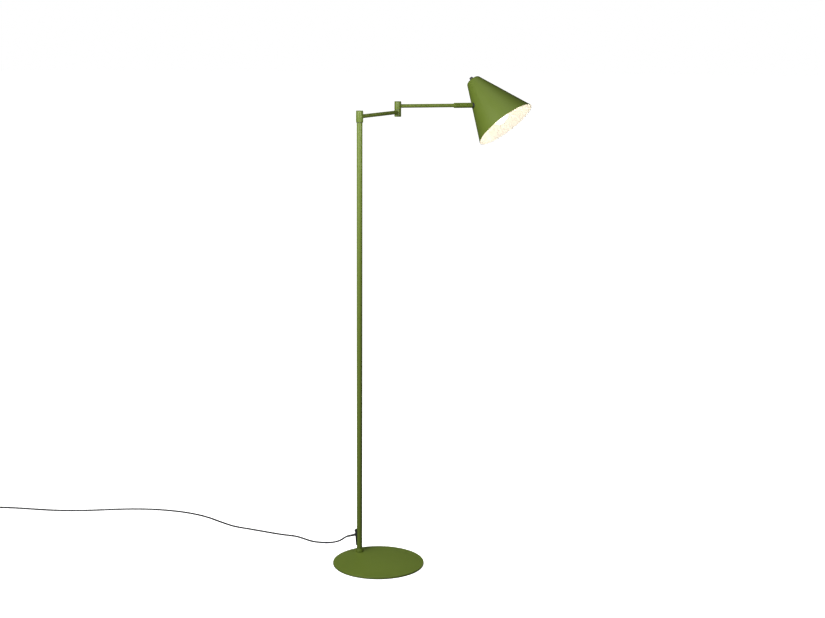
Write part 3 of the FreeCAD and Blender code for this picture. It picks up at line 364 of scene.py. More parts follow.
def noise_in(group, coordinates, scale, detail, roughness=0.5):
    """Soft random tones at a given scale."""
    return node(group, "ShaderNodeTexNoise", Vector=coordinates, Scale=scale, Detail=detail,
                Roughness=roughness).outputs["Fac"]


def blend(group, kind, share, first, second):
    """A mix of two numbers (FLOAT) or of two colours (RGBA)."""
    made = node(group, "ShaderNodeMix", {"data_type": kind})
    start, out = (6, 2) if kind == "RGBA" else (2, 0)
    for place, source in ((0, share), (start, first), (start + 1, second)):
        feed(group, made.inputs[place], source)
    return made.outputs[out]


def make_fine_relief():
    """Height of a pebbled skin: small bumps on a slower swell."""
    group, given, result = new_group("ShaderNodeTree", "fine_relief", [
        ("Coordinates", "NodeSocketVector", (0, 0, 0)), ("Grain", "NodeSocketFloat", 900.0),
        ("Swell", "NodeSocketFloat", 120.0), ("Swell share", "NodeSocketFloat", 0.3)],
        [("Height", "NodeSocketFloat")])
    grain = noise_in(group, given["Coordinates"], given["Grain"], 2)
    swell = noise_in(group, given["Coordinates"], given["Swell"], 1)
    group.links.new(blend(group, "FLOAT", given["Swell share"], grain, swell), result["Height"])
    return group


FINE_RELIEF = make_fine_relief()
print("relief group has", len(FINE_RELIEF.nodes), "nodes")


# %% Node group: slow changes of tone and gloss
EDGE_START = 0.53
EDGE_FULL = 0.62
GLOSS_START = 0.3
GLOSS_FULL = 0.7


def make_tone_drift():
    """A colour and a roughness that wander between two values, with a lighter tone on sharp edges."""
    group, given, result = new_group("ShaderNodeTree", "tone_drift", [
        ("Coordinates", "NodeSocketVector", (0, 0, 0)), ("Scale", "NodeSocketFloat", 12.0),
        ("Dark tone", "NodeSocketColor", (0.1, 0.1, 0.1, 1)),
        ("Light tone", "NodeSocketColor", (0.1, 0.1, 0.1, 1)),
        ("Edge tone", "NodeSocketColor", (0.2, 0.2, 0.2, 1)), ("Edge amount", "NodeSocketFloat", 0.3),
        ("Smooth", "NodeSocketFloat", 0.35), ("Matt", "NodeSocketFloat", 0.5)],
        [("Tone", "NodeSocketColor"), ("Roughness", "NodeSocketFloat")])
    drift = noise_in(group, given["Coordinates"], given["Scale"], 4, 0.6)
    tone = blend(group, "RGBA", drift, given["Dark tone"], given["Light tone"])
    pointiness = node(group, "ShaderNodeNewGeometry").outputs["Pointiness"]
    edge = node(group, "ShaderNodeMapRange", Value=pointiness, From_Min=EDGE_START, From_Max=EDGE_FULL,
                To_Max=given["Edge amount"]).outputs["Result"]
    gloss = node(group, "ShaderNodeMapRange", Value=drift, From_Min=GLOSS_START, From_Max=GLOSS_FULL,
                 To_Min=given["Smooth"], To_Max=given["Matt"]).outputs["Result"]
    group.links.new(blend(group, "RGBA", edge, tone, given["Edge tone"]), result["Tone"])
    group.links.new(gloss, result["Roughness"])
    return group


TONE_DRIFT = make_tone_drift()
print("tone group has", len(TONE_DRIFT.nodes), "nodes")


# %% A finish from the shared groups
def finish(name, dark, light, edge, edge_amount=0.3, drift=12, smooth=0.35, matt=0.5, grain=900, swell=120,
           swell_share=0.3, depth=0.02, metal=0.0, coat=0.0, specular=0.5):
    """A Principled material whose tone, gloss and relief come from the shared groups."""
    material = bpy.data.materials.new(name)
    material.use_nodes = True
    tree = material.node_tree
    shader = tree.nodes["Principled BSDF"]
    shader.inputs["Metallic"].default_value = metal
    shader.inputs["Coat Weight"].default_value = coat
    shader.inputs["Specular IOR Level"].default_value = specular
    place = node(tree, "ShaderNodeTexCoord").outputs["Object"]
    tone = node(tree, "ShaderNodeGroup", {"node_tree": TONE_DRIFT}, Coordinates=place, Scale=drift,
                Dark_tone=(*dark, 1), Light_tone=(*light, 1), Edge_tone=(*edge, 1), Edge_amount=edge_amount,
                Smooth=smooth, Matt=matt)
    height = node(tree, "ShaderNodeGroup", {"node_tree": FINE_RELIEF}, Coordinates=place, Grain=grain,
                  Swell=swell, Swell_share=swell_share).outputs["Height"]
    bump = node(tree, "ShaderNodeBump", Strength=1.0, Distance=depth * MM, Height=height)
    tree.links.new(bump.outputs["Normal"], shader.inputs["Normal"])
    tree.links.new(tone.outputs["Tone"], shader.inputs["Base Color"])
    tree.links.new(tone.outputs["Roughness"], shader.inputs["Roughness"])
    return material


# %% [markdown]
# ## Finishes
#
# The metal wears a satin olive powder coat: a faint orange-peel skin that breaks up the reflection.
# The same coat sits on the post, the arms and the outside of the shade. The shade's lining is white
# enamel. The cord's sheath, the outlet, the knob and the dark rings are black, but each has its own
# gloss, so that they don't look cut from one block.

# %% Coats on metal
OLIVE_COAT = finish(
    "olive_coat", dark=(0.087, 0.126, 0.012), light=(0.101, 0.142, 0.018), edge=(0.15, 0.19, 0.04),
    edge_amount=0.35, drift=9, smooth=0.42, matt=0.50, grain=1100, swell=260, swell_share=0.4, depth=0.03,
    specular=0.36)
WHITE_LINING = finish(
    "white_lining", dark=(0.80, 0.78, 0.73), light=(0.86, 0.84, 0.80), edge=(0.9, 0.9, 0.88), edge_amount=0.2,
    drift=14, smooth=0.35, matt=0.45, grain=1000, swell=240, depth=0.02)

# %% Mouldings, rubber and plain metals
BLACK_MOULDING = finish(
    "black_moulding", dark=(0.010, 0.010, 0.011), light=(0.017, 0.017, 0.018), edge=(0.05, 0.05, 0.05),
    drift=40, smooth=0.38, matt=0.52, grain=2600, swell=700, depth=0.02)
CORD_SHEATH = finish(
    "cord_sheath", dark=(0.009, 0.009, 0.010), light=(0.015, 0.015, 0.016), edge=(0.02, 0.02, 0.02),
    edge_amount=0, drift=60, smooth=0.34, matt=0.46, grain=1500, swell=300, depth=0.015)
PAD_RUBBER = finish(
    "pad_rubber", dark=(0.016, 0.016, 0.017), light=(0.028, 0.028, 0.029), edge=(0.04, 0.04, 0.04), drift=30,
    smooth=0.75, matt=0.92, grain=700, swell=150, depth=0.12, specular=0.25)
DARK_NYLON = finish(
    "dark_nylon", dark=(0.012, 0.012, 0.012), light=(0.020, 0.020, 0.020), edge=(0.05, 0.05, 0.05), drift=50,
    smooth=0.45, matt=0.6, grain=2000, swell=500, depth=0.01)
HOLDER_PLASTIC = finish(
    "holder_plastic", dark=(0.70, 0.69, 0.66), light=(0.78, 0.77, 0.74), edge=(0.85, 0.84, 0.82), drift=35,
    smooth=0.3, matt=0.42, grain=1800, swell=400, depth=0.01)
ZINC_STEEL = finish(
    "zinc_steel", dark=(0.46, 0.47, 0.48), light=(0.60, 0.61, 0.62), edge=(0.7, 0.7, 0.7), drift=180,
    smooth=0.24, matt=0.42, grain=2500, swell=500, depth=0.006, metal=1.0)
NICKEL = finish(
    "nickel", dark=(0.58, 0.56, 0.52), light=(0.68, 0.66, 0.62), edge=(0.75, 0.74, 0.7), drift=120,
    smooth=0.16, matt=0.3, grain=3000, swell=600, depth=0.004, metal=1.0)
BRASS = finish(
    "contact_brass", dark=(0.62, 0.44, 0.17), light=(0.74, 0.55, 0.25), edge=(0.8, 0.65, 0.35), drift=150,
    smooth=0.22, matt=0.38, grain=3000, swell=600, depth=0.004, metal=1.0)
print("finishes:", len(bpy.data.materials))

# %% Frosted glass of the lit bulb
BULB_GLOW = 3.0
GLOW_TINT = (1.0, 0.88, 0.70, 1)


def make_frosted_glass():
    """White frosted glass that glows warm all over."""
    material = finish(
        "frosted_glass", dark=(0.86, 0.84, 0.80), light=(0.92, 0.90, 0.86), edge=(0.95, 0.95, 0.92),
        edge_amount=0, drift=25, smooth=0.25, matt=0.35, grain=1500, swell=300, depth=0.008)
    shader = material.node_tree.nodes["Principled BSDF"]
    shader.inputs["Emission Color"].default_value = GLOW_TINT
    shader.inputs["Emission Strength"].default_value = BULB_GLOW
    return material


FROSTED_GLASS = make_frosted_glass()
print("bulb glows at", BULB_GLOW)

# %% Finishes of the CAD pieces that stay
SLOT_FINISH = {
    "coated_steel": OLIVE_COAT, "coated_shade": OLIVE_COAT, "bare_steel": ZINC_STEEL, "nylon": DARK_NYLON,
    "black_plastic": BLACK_MOULDING, "holder_plastic": HOLDER_PLASTIC, "pad_rubber": PAD_RUBBER,
    "cord_sheath": CORD_SHEATH, "nickel": NICKEL, "contact_brass": BRASS, "bulb_glass": FROSTED_GLASS,
}
PAINTED_OVER = {"shoulder_insert": OLIVE_COAT}
for name, part in frame["nodes"].items():
    for place in part.material_slots:
        place.material = PAINTED_OVER.get(name) or SLOT_FINISH[place.material.name.split(".")[0]]
cord.data.materials.append(CORD_SHEATH)
print("CAD pieces with a finish:", len(frame["nodes"]))


# %% [markdown]
# ## A lathe in nodes
#
# Nearly every part of this lamp was turned, spun or moulded round an axis: base, post, housings,
# sleeve, knob and shade. Each could be a cylinder with bevels, but a real turned edge has its own
# radius. So one Geometry Nodes group works as a lathe: it takes an outline of (radius, height)
# corners, rounds each corner by its own radius, and wraps a grid round the axis. Its seam and its
# poles are merged, so each piece is one closed skin.

# %% Small helpers for geometry groups
PIECE_OUTPUT = [("Piece", "NodeSocketGeometry")]


def new_piece_group(name, inputs):
    """An empty geometry group that gives one piece."""
    return new_group("GeometryNodeTree", name, inputs, PIECE_OUTPUT)


def maths(group, operation, first, second=None):
    """The output of one Math node."""
    made = group.nodes.new("ShaderNodeMath")
    made.operation = operation
    feed(group, made.inputs[0], first)
    feed(group, made.inputs[1], second)
    return made.outputs[0]


def attribute_of(group, label):
    """A named number on the geometry."""
    settings = {"data_type": "FLOAT"}
    return node(group, "GeometryNodeInputNamedAttribute", settings, Name=label).outputs["Attribute"]


def stored(group, geometry, label, value):
    """The geometry with a named number written on its points."""
    return node(group, "GeometryNodeStoreNamedAttribute", {"data_type": "FLOAT", "domain": "POINT"},
                Geometry=geometry, Name=label, Value=value).outputs["Geometry"]


print("each geometry group gives:", PIECE_OUTPUT[0][0])


# %% The lathe group
WELD = 2e-6
SLIVER = 1e-6


def sampled(group, source, kind, value, index):
    """A field of one geometry, read at an index."""
    reader = node(group, "GeometryNodeSampleIndex", {"data_type": kind, "domain": "POINT"}, Geometry=source)
    feed(group, reader.inputs["Value"], value)
    feed(group, reader.inputs["Index"], index)
    return reader.outputs[0]


def make_lathe():
    """Turns a closed outline of edges in the XZ plane into a skin round Z."""
    group, given, result = new_piece_group("lathe", [
        ("Outline", "NodeSocketGeometry"), ("Sides", "NodeSocketInt"), ("Round steps", "NodeSocketInt"),
        ("Finish", "NodeSocketMaterial"), ("Lining finish", "NodeSocketMaterial")])
    line = node(group, "GeometryNodeMeshToCurve", Mesh=given["Outline"]).outputs["Curve"]
    eased = node(group, "GeometryNodeFilletCurve", {"mode": "POLY"}, Curve=line, Count=given["Round steps"],
                 Radius=attribute_of(group, "round"), Limit_Radius=True).outputs["Curve"]
    count = node(group, "GeometryNodeAttributeDomainSize", {"component": "CURVE"},
                 Geometry=eased).outputs["Point Count"]
    rows = maths(group, "ADD", count, 1.0)
    grid = node(group, "GeometryNodeMeshGrid", Vertices_X=maths(group, "ADD", given["Sides"], 1.0),
                Vertices_Y=rows).outputs["Mesh"]
    index = node(group, "GeometryNodeInputIndex").outputs[0]
    # half an index more keeps the division clear of whole numbers
    turn = maths(group, "FLOOR", maths(group, "DIVIDE", maths(group, "ADD", index, 0.5), rows))
    row = maths(group, "SUBTRACT", index, maths(group, "MULTIPLY", turn, rows))
    row = maths(group, "MODULO", row, count)
    spot = sampled(group, eased, "FLOAT_VECTOR", node(group, "GeometryNodeInputPosition").outputs[0], row)
    lining = sampled(group, eased, "FLOAT", attribute_of(group, "lining"), row)
    parts = node(group, "ShaderNodeSeparateXYZ", Vector=spot).outputs
    angle = maths(group, "MULTIPLY", maths(group, "DIVIDE", turn, given["Sides"]), math.tau)
    across = maths(group, "MULTIPLY", parts["X"], maths(group, "COSINE", angle))
    away = maths(group, "MULTIPLY", parts["X"], maths(group, "SINE", angle))
    place = node(group, "ShaderNodeCombineXYZ", X=across, Y=away, Z=parts["Z"]).outputs[0]
    marked = stored(group, grid, "lining", lining)
    skin = node(group, "GeometryNodeSetPosition", Geometry=marked, Position=place).outputs[0]
    closed = node(group, "GeometryNodeMergeByDistance", Geometry=skin, Distance=WELD).outputs[0]
    smooth = node(group, "GeometryNodeSetShadeSmooth", Geometry=closed).outputs[0]
    whole = node(group, "GeometryNodeRealizeInstances", Geometry=smooth).outputs[0]
    painted = node(group, "GeometryNodeSetMaterial", Geometry=whole, Material=given["Finish"]).outputs[0]
    inner = maths(group, "GREATER_THAN", attribute_of(group, "lining"), 0.5)
    lined = node(group, "GeometryNodeSetMaterial", Geometry=painted, Selection=inner,
                 Material=given["Lining finish"]).outputs[0]
    group.links.new(lined, result["Piece"])
    return group


LATHE = make_lathe()


def on_lathe(group, outline, sides, steps, coat, lining):
    """The skin that the lathe makes of an outline, as a step of another group."""
    return node(group, "GeometryNodeGroup", {"node_tree": LATHE}, Outline=outline, Sides=sides,
                Round_steps=steps, Finish=coat, Lining_finish=lining).outputs[0]


print("lathe group has", len(LATHE.nodes), "nodes")


# %% From a tree to a plain mesh
def grown(name, group, values, start=None):
    """The plain mesh that a tree makes."""
    carrier = added(name + "_carrier", start or bpy.data.meshes.new(name + "_start"))
    tool = carrier.modifiers.new(name, "NODES")
    tool.node_group = group
    for label, value in values.items():
        tool[group.interface.items_tree[label].identifier] = value
    graph = bpy.context.evaluated_depsgraph_get()
    graph.update()
    mesh = bpy.data.meshes.new_from_object(carrier.evaluated_get(graph), depsgraph=graph)
    carrier.modifiers.remove(tool)
    bpy.data.objects.remove(carrier)
    return mesh


def settled(mesh, crease=35):
    """Merge doubles, drop strays, face outwards and mark the sharp edges."""
    work = bmesh.new()
    work.from_mesh(mesh)
    bmesh.ops.remove_doubles(work, verts=work.verts, dist=WELD)
    bmesh.ops.dissolve_degenerate(work, edges=work.edges, dist=SLIVER)
    strays = [edge for edge in work.edges if not edge.link_faces]
    bmesh.ops.delete(work, geom=strays, context="EDGES")
    lone = [corner for corner in work.verts if not corner.link_faces]
    bmesh.ops.delete(work, geom=lone, context="VERTS")
    bmesh.ops.recalc_face_normals(work, faces=work.faces)
    for face in work.faces:
        face.smooth = True
    work.to_mesh(mesh)
    work.free()
    mesh.set_sharp_from_angle(angle=math.radians(crease))
    return mesh


def outline_mesh(name, corners):
    """A closed chain of edges from (radius, height, round) corners in millimetres."""
    mesh = bpy.data.meshes.new(name)
    spots = [(corner[0] * MM, 0, corner[1] * MM) for corner in corners]
    edges = [(index, (index + 1) % len(spots)) for index in range(len(spots))]
    mesh.from_pydata(spots, edges, [])
    rounds = mesh.attributes.new("round", "FLOAT", "POINT")
    rounds.data.foreach_set("value", [corner[2] * MM if len(corner) > 2 else 0.0 for corner in corners])
    return mesh


print("seams closer than %g mm are merged" % (WELD / MM))


# %% From a plain mesh to a piece of the lamp
def heights(name):
    """Lowest and highest point of a CAD piece, in millimetres."""
    low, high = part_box(name)
    return low.z / MM, high.z / MM


def upright(foot):
    """A place straight above a point."""
    return Matrix.Translation(foot)


def along(foot, way, side=UP):
    """A place whose Z runs along a direction, with X near a side."""
    far = way.normalized()
    across = far.cross(side).normalized()
    turn = Matrix((across.cross(far), across, far)).transposed()
    return Matrix.Translation(foot) @ turn.to_4x4()


def piece(name, mesh, where, body, slot, *stands_for):
    """An object at the origin with its place in its mesh, riding on a body."""
    mesh.transform(where)
    made = added(name, mesh)
    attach(made, body)
    if stands_for:
        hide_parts(*stands_for)
    print("%-18s %6d faces on %s" % (name, len(mesh.polygons), body))
    return made


def turned(name, corners, where, body, slot, *stands_for, coat=None, sides=96, steps=5):
    """A turned piece from its outline."""
    coat = coat or OLIVE_COAT
    values = {"Sides": sides, "Round steps": steps, "Finish": coat, "Lining finish": coat}
    mesh = settled(grown(name, LATHE, values, outline_mesh(name + "_outline", corners)))
    return piece(name, mesh, where, body, slot, *stands_for)


# %% [markdown]
# ## Base and post
#
# The base is a steel disc 5 mm thick on a thin rubber pad. Its edge is broken by a small radius that
# catches the light as a thin bright line, so the outline rounds its two corners. The post stands near
# the rim, in a short flared collar.

# %% Base disc
BASE_RADIUS = 130
DISC_ROUND = 1.0
PLATE_LOW, PLATE_HIGH = heights("base_plate")
turned("base_disc", [
    (0, PLATE_LOW), (BASE_RADIUS, PLATE_LOW, DISC_ROUND),
    (BASE_RADIUS, PLATE_HIGH, DISC_ROUND), (0, PLATE_HIGH)],
    upright((0, 0, 0)), "base", "coated_steel", "base_plate", sides=240, steps=6)

# %% Post and collar
POST_RADIUS = 8
POST_BORE = 6.5
POST_ROUND = 0.3
POST_HIGH = heights("post")[1]
turned("post_tube", [
    (POST_BORE, PLATE_HIGH), (POST_RADIUS, PLATE_HIGH),
    (POST_RADIUS, POST_HIGH, POST_ROUND), (POST_BORE, POST_HIGH)],
    upright(POST), "base", "coated_steel", "post", sides=72)
COLLAR_RADIUS = 11.5
COLLAR_NECK = 9.5
COLLAR_FOOT = PLATE_HIGH + 3.3
COLLAR_FLARE = 1.5
COLLAR_ROUND = 0.5
COLLAR_HIGH = heights("foot_collar")[1]
turned("post_collar", [
    (POST_RADIUS, PLATE_HIGH), (COLLAR_RADIUS, PLATE_HIGH), (COLLAR_RADIUS, COLLAR_FOOT, COLLAR_FLARE),
    (COLLAR_NECK, COLLAR_HIGH, COLLAR_ROUND), (POST_RADIUS, COLLAR_HIGH)],
    upright(POST), "base", "coated_steel", "foot_collar", sides=96)

# %% [markdown]
# ## Shoulder, elbow and arms
#
# Each joint is a small round housing with a pressed-in cap, turning on a washer that shows as a dark
# seam. The housings could be cut from one bar, but the thin rounded edges at each seam are what make
# them read as separate pieces, so every housing and every cap is its own outline.

# %% Shoulder
HOUSING_RADIUS = 10
TURNING_BORE = 4.1
FIXED_BORE = 4.0
END_ROUND = 0.6
TURNING_ROUND = 0.4
SEAM_ROUND = 0.25
LID_ROUND = 0.2


def housing(name, stands_for, middle, body, bore, low, high, rounds):
    """A round housing, or a cap where the bore is 0: rounds are those of its lower and its upper edge."""
    turned(name, [
        (bore, low), (HOUSING_RADIUS, low, rounds[0]), (HOUSING_RADIUS, high, rounds[1]), (bore, high)],
        upright(middle), body, "coated_steel", stands_for)


low, seam = heights("shoulder_housing")
top = heights("shoulder_cap")[1]
housing("shoulder_cup", "shoulder_housing", POST, "arm_1", TURNING_BORE, low, seam, (END_ROUND, SEAM_ROUND))
housing("shoulder_lid", "shoulder_cap", POST, "arm_1", 0, seam, top, (LID_ROUND, END_ROUND))

# %% Arms
ARM_RADIUS = 5.5
ARM_BORE = 4.3
ARM_GAP = 7.6
ARM_2_END = 192
ARM_1_LENGTH = (ELBOW - POST).length / MM
ARM_1_HEIGHT = sum(heights("arm_1_tube")) / 2
ARM_2_HEIGHT = joint_at["shade_roll"].z / MM


def arm_outline(start, end):
    """The wall of an arm's tube."""
    return [(ARM_BORE, start), (ARM_RADIUS, start), (ARM_RADIUS, end), (ARM_BORE, end)]


arm_1_place = along(POST + UP * ARM_1_HEIGHT * MM, ARM_1_WAY)
arm_2_place = along(ELBOW + UP * ARM_2_HEIGHT * MM, ARM_2_WAY)
turned("arm_1_bar", arm_outline(ARM_GAP, ARM_1_LENGTH - ARM_GAP), arm_1_place, "arm_1", "coated_steel",
       "arm_1_tube", sides=64)
turned("arm_2_bar", arm_outline(ARM_GAP, ARM_2_END), arm_2_place, "arm_2", "coated_steel",
       "arm_2_tube", sides=64)

# %% Elbow
seam, gap = heights("elbow_lower_housing")
bottom = heights("elbow_bottom_cap")[0]
housing("elbow_low_cup", "elbow_lower_housing", ELBOW, "arm_1", FIXED_BORE, seam, gap,
        (SEAM_ROUND, TURNING_ROUND))
housing("elbow_low_lid", "elbow_bottom_cap", ELBOW, "arm_1", 0, bottom, seam, (END_ROUND, LID_ROUND))
gap, seam = heights("elbow_upper_housing")
top = heights("elbow_top_cap")[1]
housing("elbow_high_cup", "elbow_upper_housing", ELBOW, "arm_2", TURNING_BORE, gap, seam,
        (TURNING_ROUND, SEAM_ROUND))
housing("elbow_high_lid", "elbow_top_cap", ELBOW, "arm_2", 0, seam, top, (LID_ROUND, END_ROUND))

# %% Swivel sleeve
SLEEVE_RADIUS = 7.75
SLEEVE_COLLAR_START = 179
SLEEVE_START = 195.8
SLEEVE_END = 236.3
turned("sleeve_collar", [
    (ARM_RADIUS, SLEEVE_COLLAR_START), (SLEEVE_RADIUS, SLEEVE_COLLAR_START, END_ROUND),
    (SLEEVE_RADIUS, SLEEVE_START, SEAM_ROUND), (ARM_RADIUS, SLEEVE_START)],
    arm_2_place, "arm_2", "coated_steel", "arm_2_collar")
turned("sleeve_tube", [
    (TURNING_BORE, SLEEVE_START), (SLEEVE_RADIUS, SLEEVE_START, SEAM_ROUND),
    (SLEEVE_RADIUS, SLEEVE_END, TURNING_ROUND), (TURNING_BORE, SLEEVE_END)],
    arm_2_place, "arm_2", "coated_steel", "swivel_sleeve")


# %% [markdown]
# ## Shade
#
# The shade was spun from aluminium sheet: a straight cone, a small radius, and a flat closed top. A
# lathe follows the same rule, so the outline's corners are worked out in the tree from the shade's
# few sizes. Points of the inner wall carry a mark that gives them the white lining, so the change
# from green to white runs round the rim as it does on the real one.

# %% Shade tree
SHADE_STEPS = 10


def chosen(group, index, values):
    """A number picked by index."""
    made = group.nodes.new("GeometryNodeIndexSwitch")
    made.data_type = "FLOAT"
    while len(made.index_switch_items) < len(values):
        made.index_switch_items.new()
    feed(group, made.inputs[0], index)
    for place, value in enumerate(values, start=1):
        feed(group, made.inputs[place], value)
    return made.outputs[0]


def make_shade_group():
    """The wall of a spun cone from its own sizes, turned on the lathe."""
    floats = ["Mouth radius", "Top radius", "Length", "Wall", "Top round", "Rim round"]
    group, given, result = new_piece_group("spun_shade", [(label, "NodeSocketFloat") for label in floats] + [
        ("Sides", "NodeSocketInt"), ("Finish", "NodeSocketMaterial"), ("Lining finish", "NodeSocketMaterial")])
    wall = given["Wall"]
    mouth, top, rim = given["Mouth radius"], given["Top radius"], given["Rim round"]
    inner_mouth = maths(group, "SUBTRACT", mouth, wall)
    inner_top = maths(group, "SUBTRACT", top, wall)
    ceiling = maths(group, "SUBTRACT", given["Length"], wall)
    inner_round = maths(group, "SUBTRACT", given["Top round"], wall)
    index = node(group, "GeometryNodeInputIndex").outputs[0]
    radius = chosen(group, index, [mouth, top, 0.0, 0.0, inner_top, inner_mouth])
    height = chosen(group, index, [0.0, given["Length"], given["Length"], ceiling, ceiling, 0.0])
    rounds = chosen(group, index, [rim, given["Top round"], 0.0, 0.0, inner_round, rim])
    lining = chosen(group, index, [0.0, 0.0, 0.0, 1.0, 1.0, 1.0])
    chain = node(group, "GeometryNodeMeshCircle", Vertices=6).outputs[0]
    place = node(group, "ShaderNodeCombineXYZ", X=radius, Z=height).outputs[0]
    shaped = node(group, "GeometryNodeSetPosition", Geometry=chain, Position=place).outputs[0]
    marked = stored(group, stored(group, shaped, "round", rounds), "lining", lining)
    skin = on_lathe(group, marked, given["Sides"], SHADE_STEPS, given["Finish"], given["Lining finish"])
    whole = node(group, "GeometryNodeRealizeInstances", Geometry=skin).outputs[0]
    group.links.new(whole, result["Piece"])
    return group


SPUN_SHADE = make_shade_group()
print("shade group has", len(SPUN_SHADE.nodes), "nodes")

# %% Shade
MOUTH_RADIUS = 95.5
SHADE_TOP_RADIUS = 20.6
SHADE_LENGTH = 172.8
SHADE_WALL = 1.2
SHADE_TOP_ROUND = 9
RIM_ROUND = 0.45
MOUTH = Vector((368.8863, 423.3983, 1229.626)) * MM
shade_place = along(MOUTH, SHADE_WAY)
shade_mesh = settled(grown("shade", SPUN_SHADE, {
    "Mouth radius": MOUTH_RADIUS * MM, "Top radius": SHADE_TOP_RADIUS * MM, "Length": SHADE_LENGTH * MM,
    "Wall": SHADE_WALL * MM, "Top round": SHADE_TOP_ROUND * MM, "Rim round": RIM_ROUND * MM, "Sides": 240,
    "Finish": OLIVE_COAT, "Lining finish": WHITE_LINING}))
piece("spun_shade", shade_mesh, shade_place, "shade", "coated_shade", "shade_shell")

# %% [markdown]
# ## Switch knob
#
# The rotary switch sits under the closed top: its threaded neck comes through the shade and a ring
# nut holds it. The knob is a small black moulding with eight finger flutes. The flutes could be cut
# with eight cylinders, but then their mouths would be knife-sharp; instead a tree turns the plain
# knob on the lathe and presses every flute in as a soft hollow, by one rule in the angle round the
# axis.

# %% Fluted knob tree
RIM_FOCUS = 6.0


def make_fluted_group():
    """A turned skin with soft hollows pressed in at even angles, deepest at its widest radius."""
    group, given, result = new_piece_group("fluted_turning", [
        ("Outline", "NodeSocketGeometry"), ("Sides", "NodeSocketInt"), ("Round steps", "NodeSocketInt"),
        ("Widest radius", "NodeSocketFloat"), ("Flutes", "NodeSocketInt"), ("Flute depth", "NodeSocketFloat"),
        ("Flute sharpness", "NodeSocketFloat"), ("Finish", "NodeSocketMaterial")])
    coat = given["Finish"]
    skin = on_lathe(group, given["Outline"], given["Sides"], given["Round steps"], coat, coat)
    position = node(group, "GeometryNodeInputPosition").outputs[0]
    parts = node(group, "ShaderNodeSeparateXYZ", Vector=position).outputs
    angle = maths(group, "ARCTAN2", parts["Y"], parts["X"])
    wave = maths(group, "COSINE", maths(group, "MULTIPLY", angle, given["Flutes"]))
    crest = maths(group, "MAXIMUM", wave, 0.0)
    hollow = maths(group, "POWER", crest, given["Flute sharpness"])
    square = maths(group, "ADD", maths(group, "MULTIPLY", parts["X"], parts["X"]),
                   maths(group, "MULTIPLY", parts["Y"], parts["Y"]))
    reach = maths(group, "DIVIDE", maths(group, "SQRT", square), given["Widest radius"])
    outer = maths(group, "POWER", reach, RIM_FOCUS)
    loss = maths(group, "MULTIPLY", maths(group, "MULTIPLY", hollow, outer), given["Flute depth"])
    share = maths(group, "SUBTRACT", 1.0, loss)
    pressed = node(group, "ShaderNodeCombineXYZ", X=maths(group, "MULTIPLY", parts["X"], share),
                   Y=maths(group, "MULTIPLY", parts["Y"], share), Z=parts["Z"]).outputs[0]
    moved = node(group, "GeometryNodeSetPosition", Geometry=skin, Position=pressed).outputs[0]
    whole = node(group, "GeometryNodeRealizeInstances", Geometry=moved).outputs[0]
    painted = node(group, "GeometryNodeSetMaterial", Geometry=whole, Material=coat).outputs[0]
    group.links.new(painted, result["Piece"])
    return group


FLUTED = make_fluted_group()
print("fluted group has", len(FLUTED.nodes), "nodes")

# %% Knob and ring nut
KNOB_RADIUS = 5.5
KNOB_LOW = 176
KNOB_HIGH = 182.2
KNOB_BORE = 2
KNOB_TAPER = 0.3
KNOB_ROUND = 1.0
KNOB_EDGE = 0.3
DISH_RADIUS = 3.2
DISH_DEPTH = 0.4
KNOB_ROOF = 1.8
FLUTE_COUNT = 8
FLUTE_DEPTH = 0.11
FLUTE_SHARPNESS = 2.2
knob_outline = outline_mesh("knob_outline", [
    (KNOB_BORE, KNOB_LOW), (KNOB_RADIUS, KNOB_LOW, KNOB_EDGE),
    (KNOB_RADIUS - KNOB_TAPER, KNOB_HIGH, KNOB_ROUND), (DISH_RADIUS, KNOB_HIGH, KNOB_EDGE),
    (DISH_RADIUS - DISH_DEPTH, KNOB_HIGH - DISH_DEPTH, KNOB_EDGE),
    (0, KNOB_HIGH - DISH_DEPTH), (0, KNOB_HIGH - KNOB_ROOF), (KNOB_BORE, KNOB_HIGH - KNOB_ROOF)])
knob_mesh = settled(grown("knob", FLUTED, {
    "Sides": 192, "Round steps": 6, "Widest radius": KNOB_RADIUS * MM, "Flutes": FLUTE_COUNT,
    "Flute depth": FLUTE_DEPTH, "Flute sharpness": FLUTE_SHARPNESS, "Finish": BLACK_MOULDING}, knob_outline),
    crease=50)
piece("fluted_knob", knob_mesh, shade_place, "switch", "black_plastic", "switch_knob")
NECK_RADIUS = 5.0
RING_NUT_RADIUS = 7.5
RING_NUT_HIGH = SHADE_LENGTH + 2.4
turned("neck_ring_nut", [
    (NECK_RADIUS, SHADE_LENGTH), (RING_NUT_RADIUS, SHADE_LENGTH, LID_ROUND),
    (RING_NUT_RADIUS, RING_NUT_HIGH, END_ROUND), (NECK_RADIUS, RING_NUT_HIGH, LID_ROUND)],
    shade_place, "shade", "black_plastic", "switch_ring_nut", coat=BLACK_MOULDING, sides=72)

# %% [markdown]
# ## Lamp holder and bulb
#
# A white moulded E27 holder hangs under the switch and a frosted bulb is screwed into it. The bulb's
# glass could be a sphere joined to a cone, but the join would show as a ring in the glow, so its
# outline is one run: most of a circle, then a smooth curve into the neck. The cap's thread is a row
# of rounded ridges, close to what a rolled thread looks like in a shaded place.

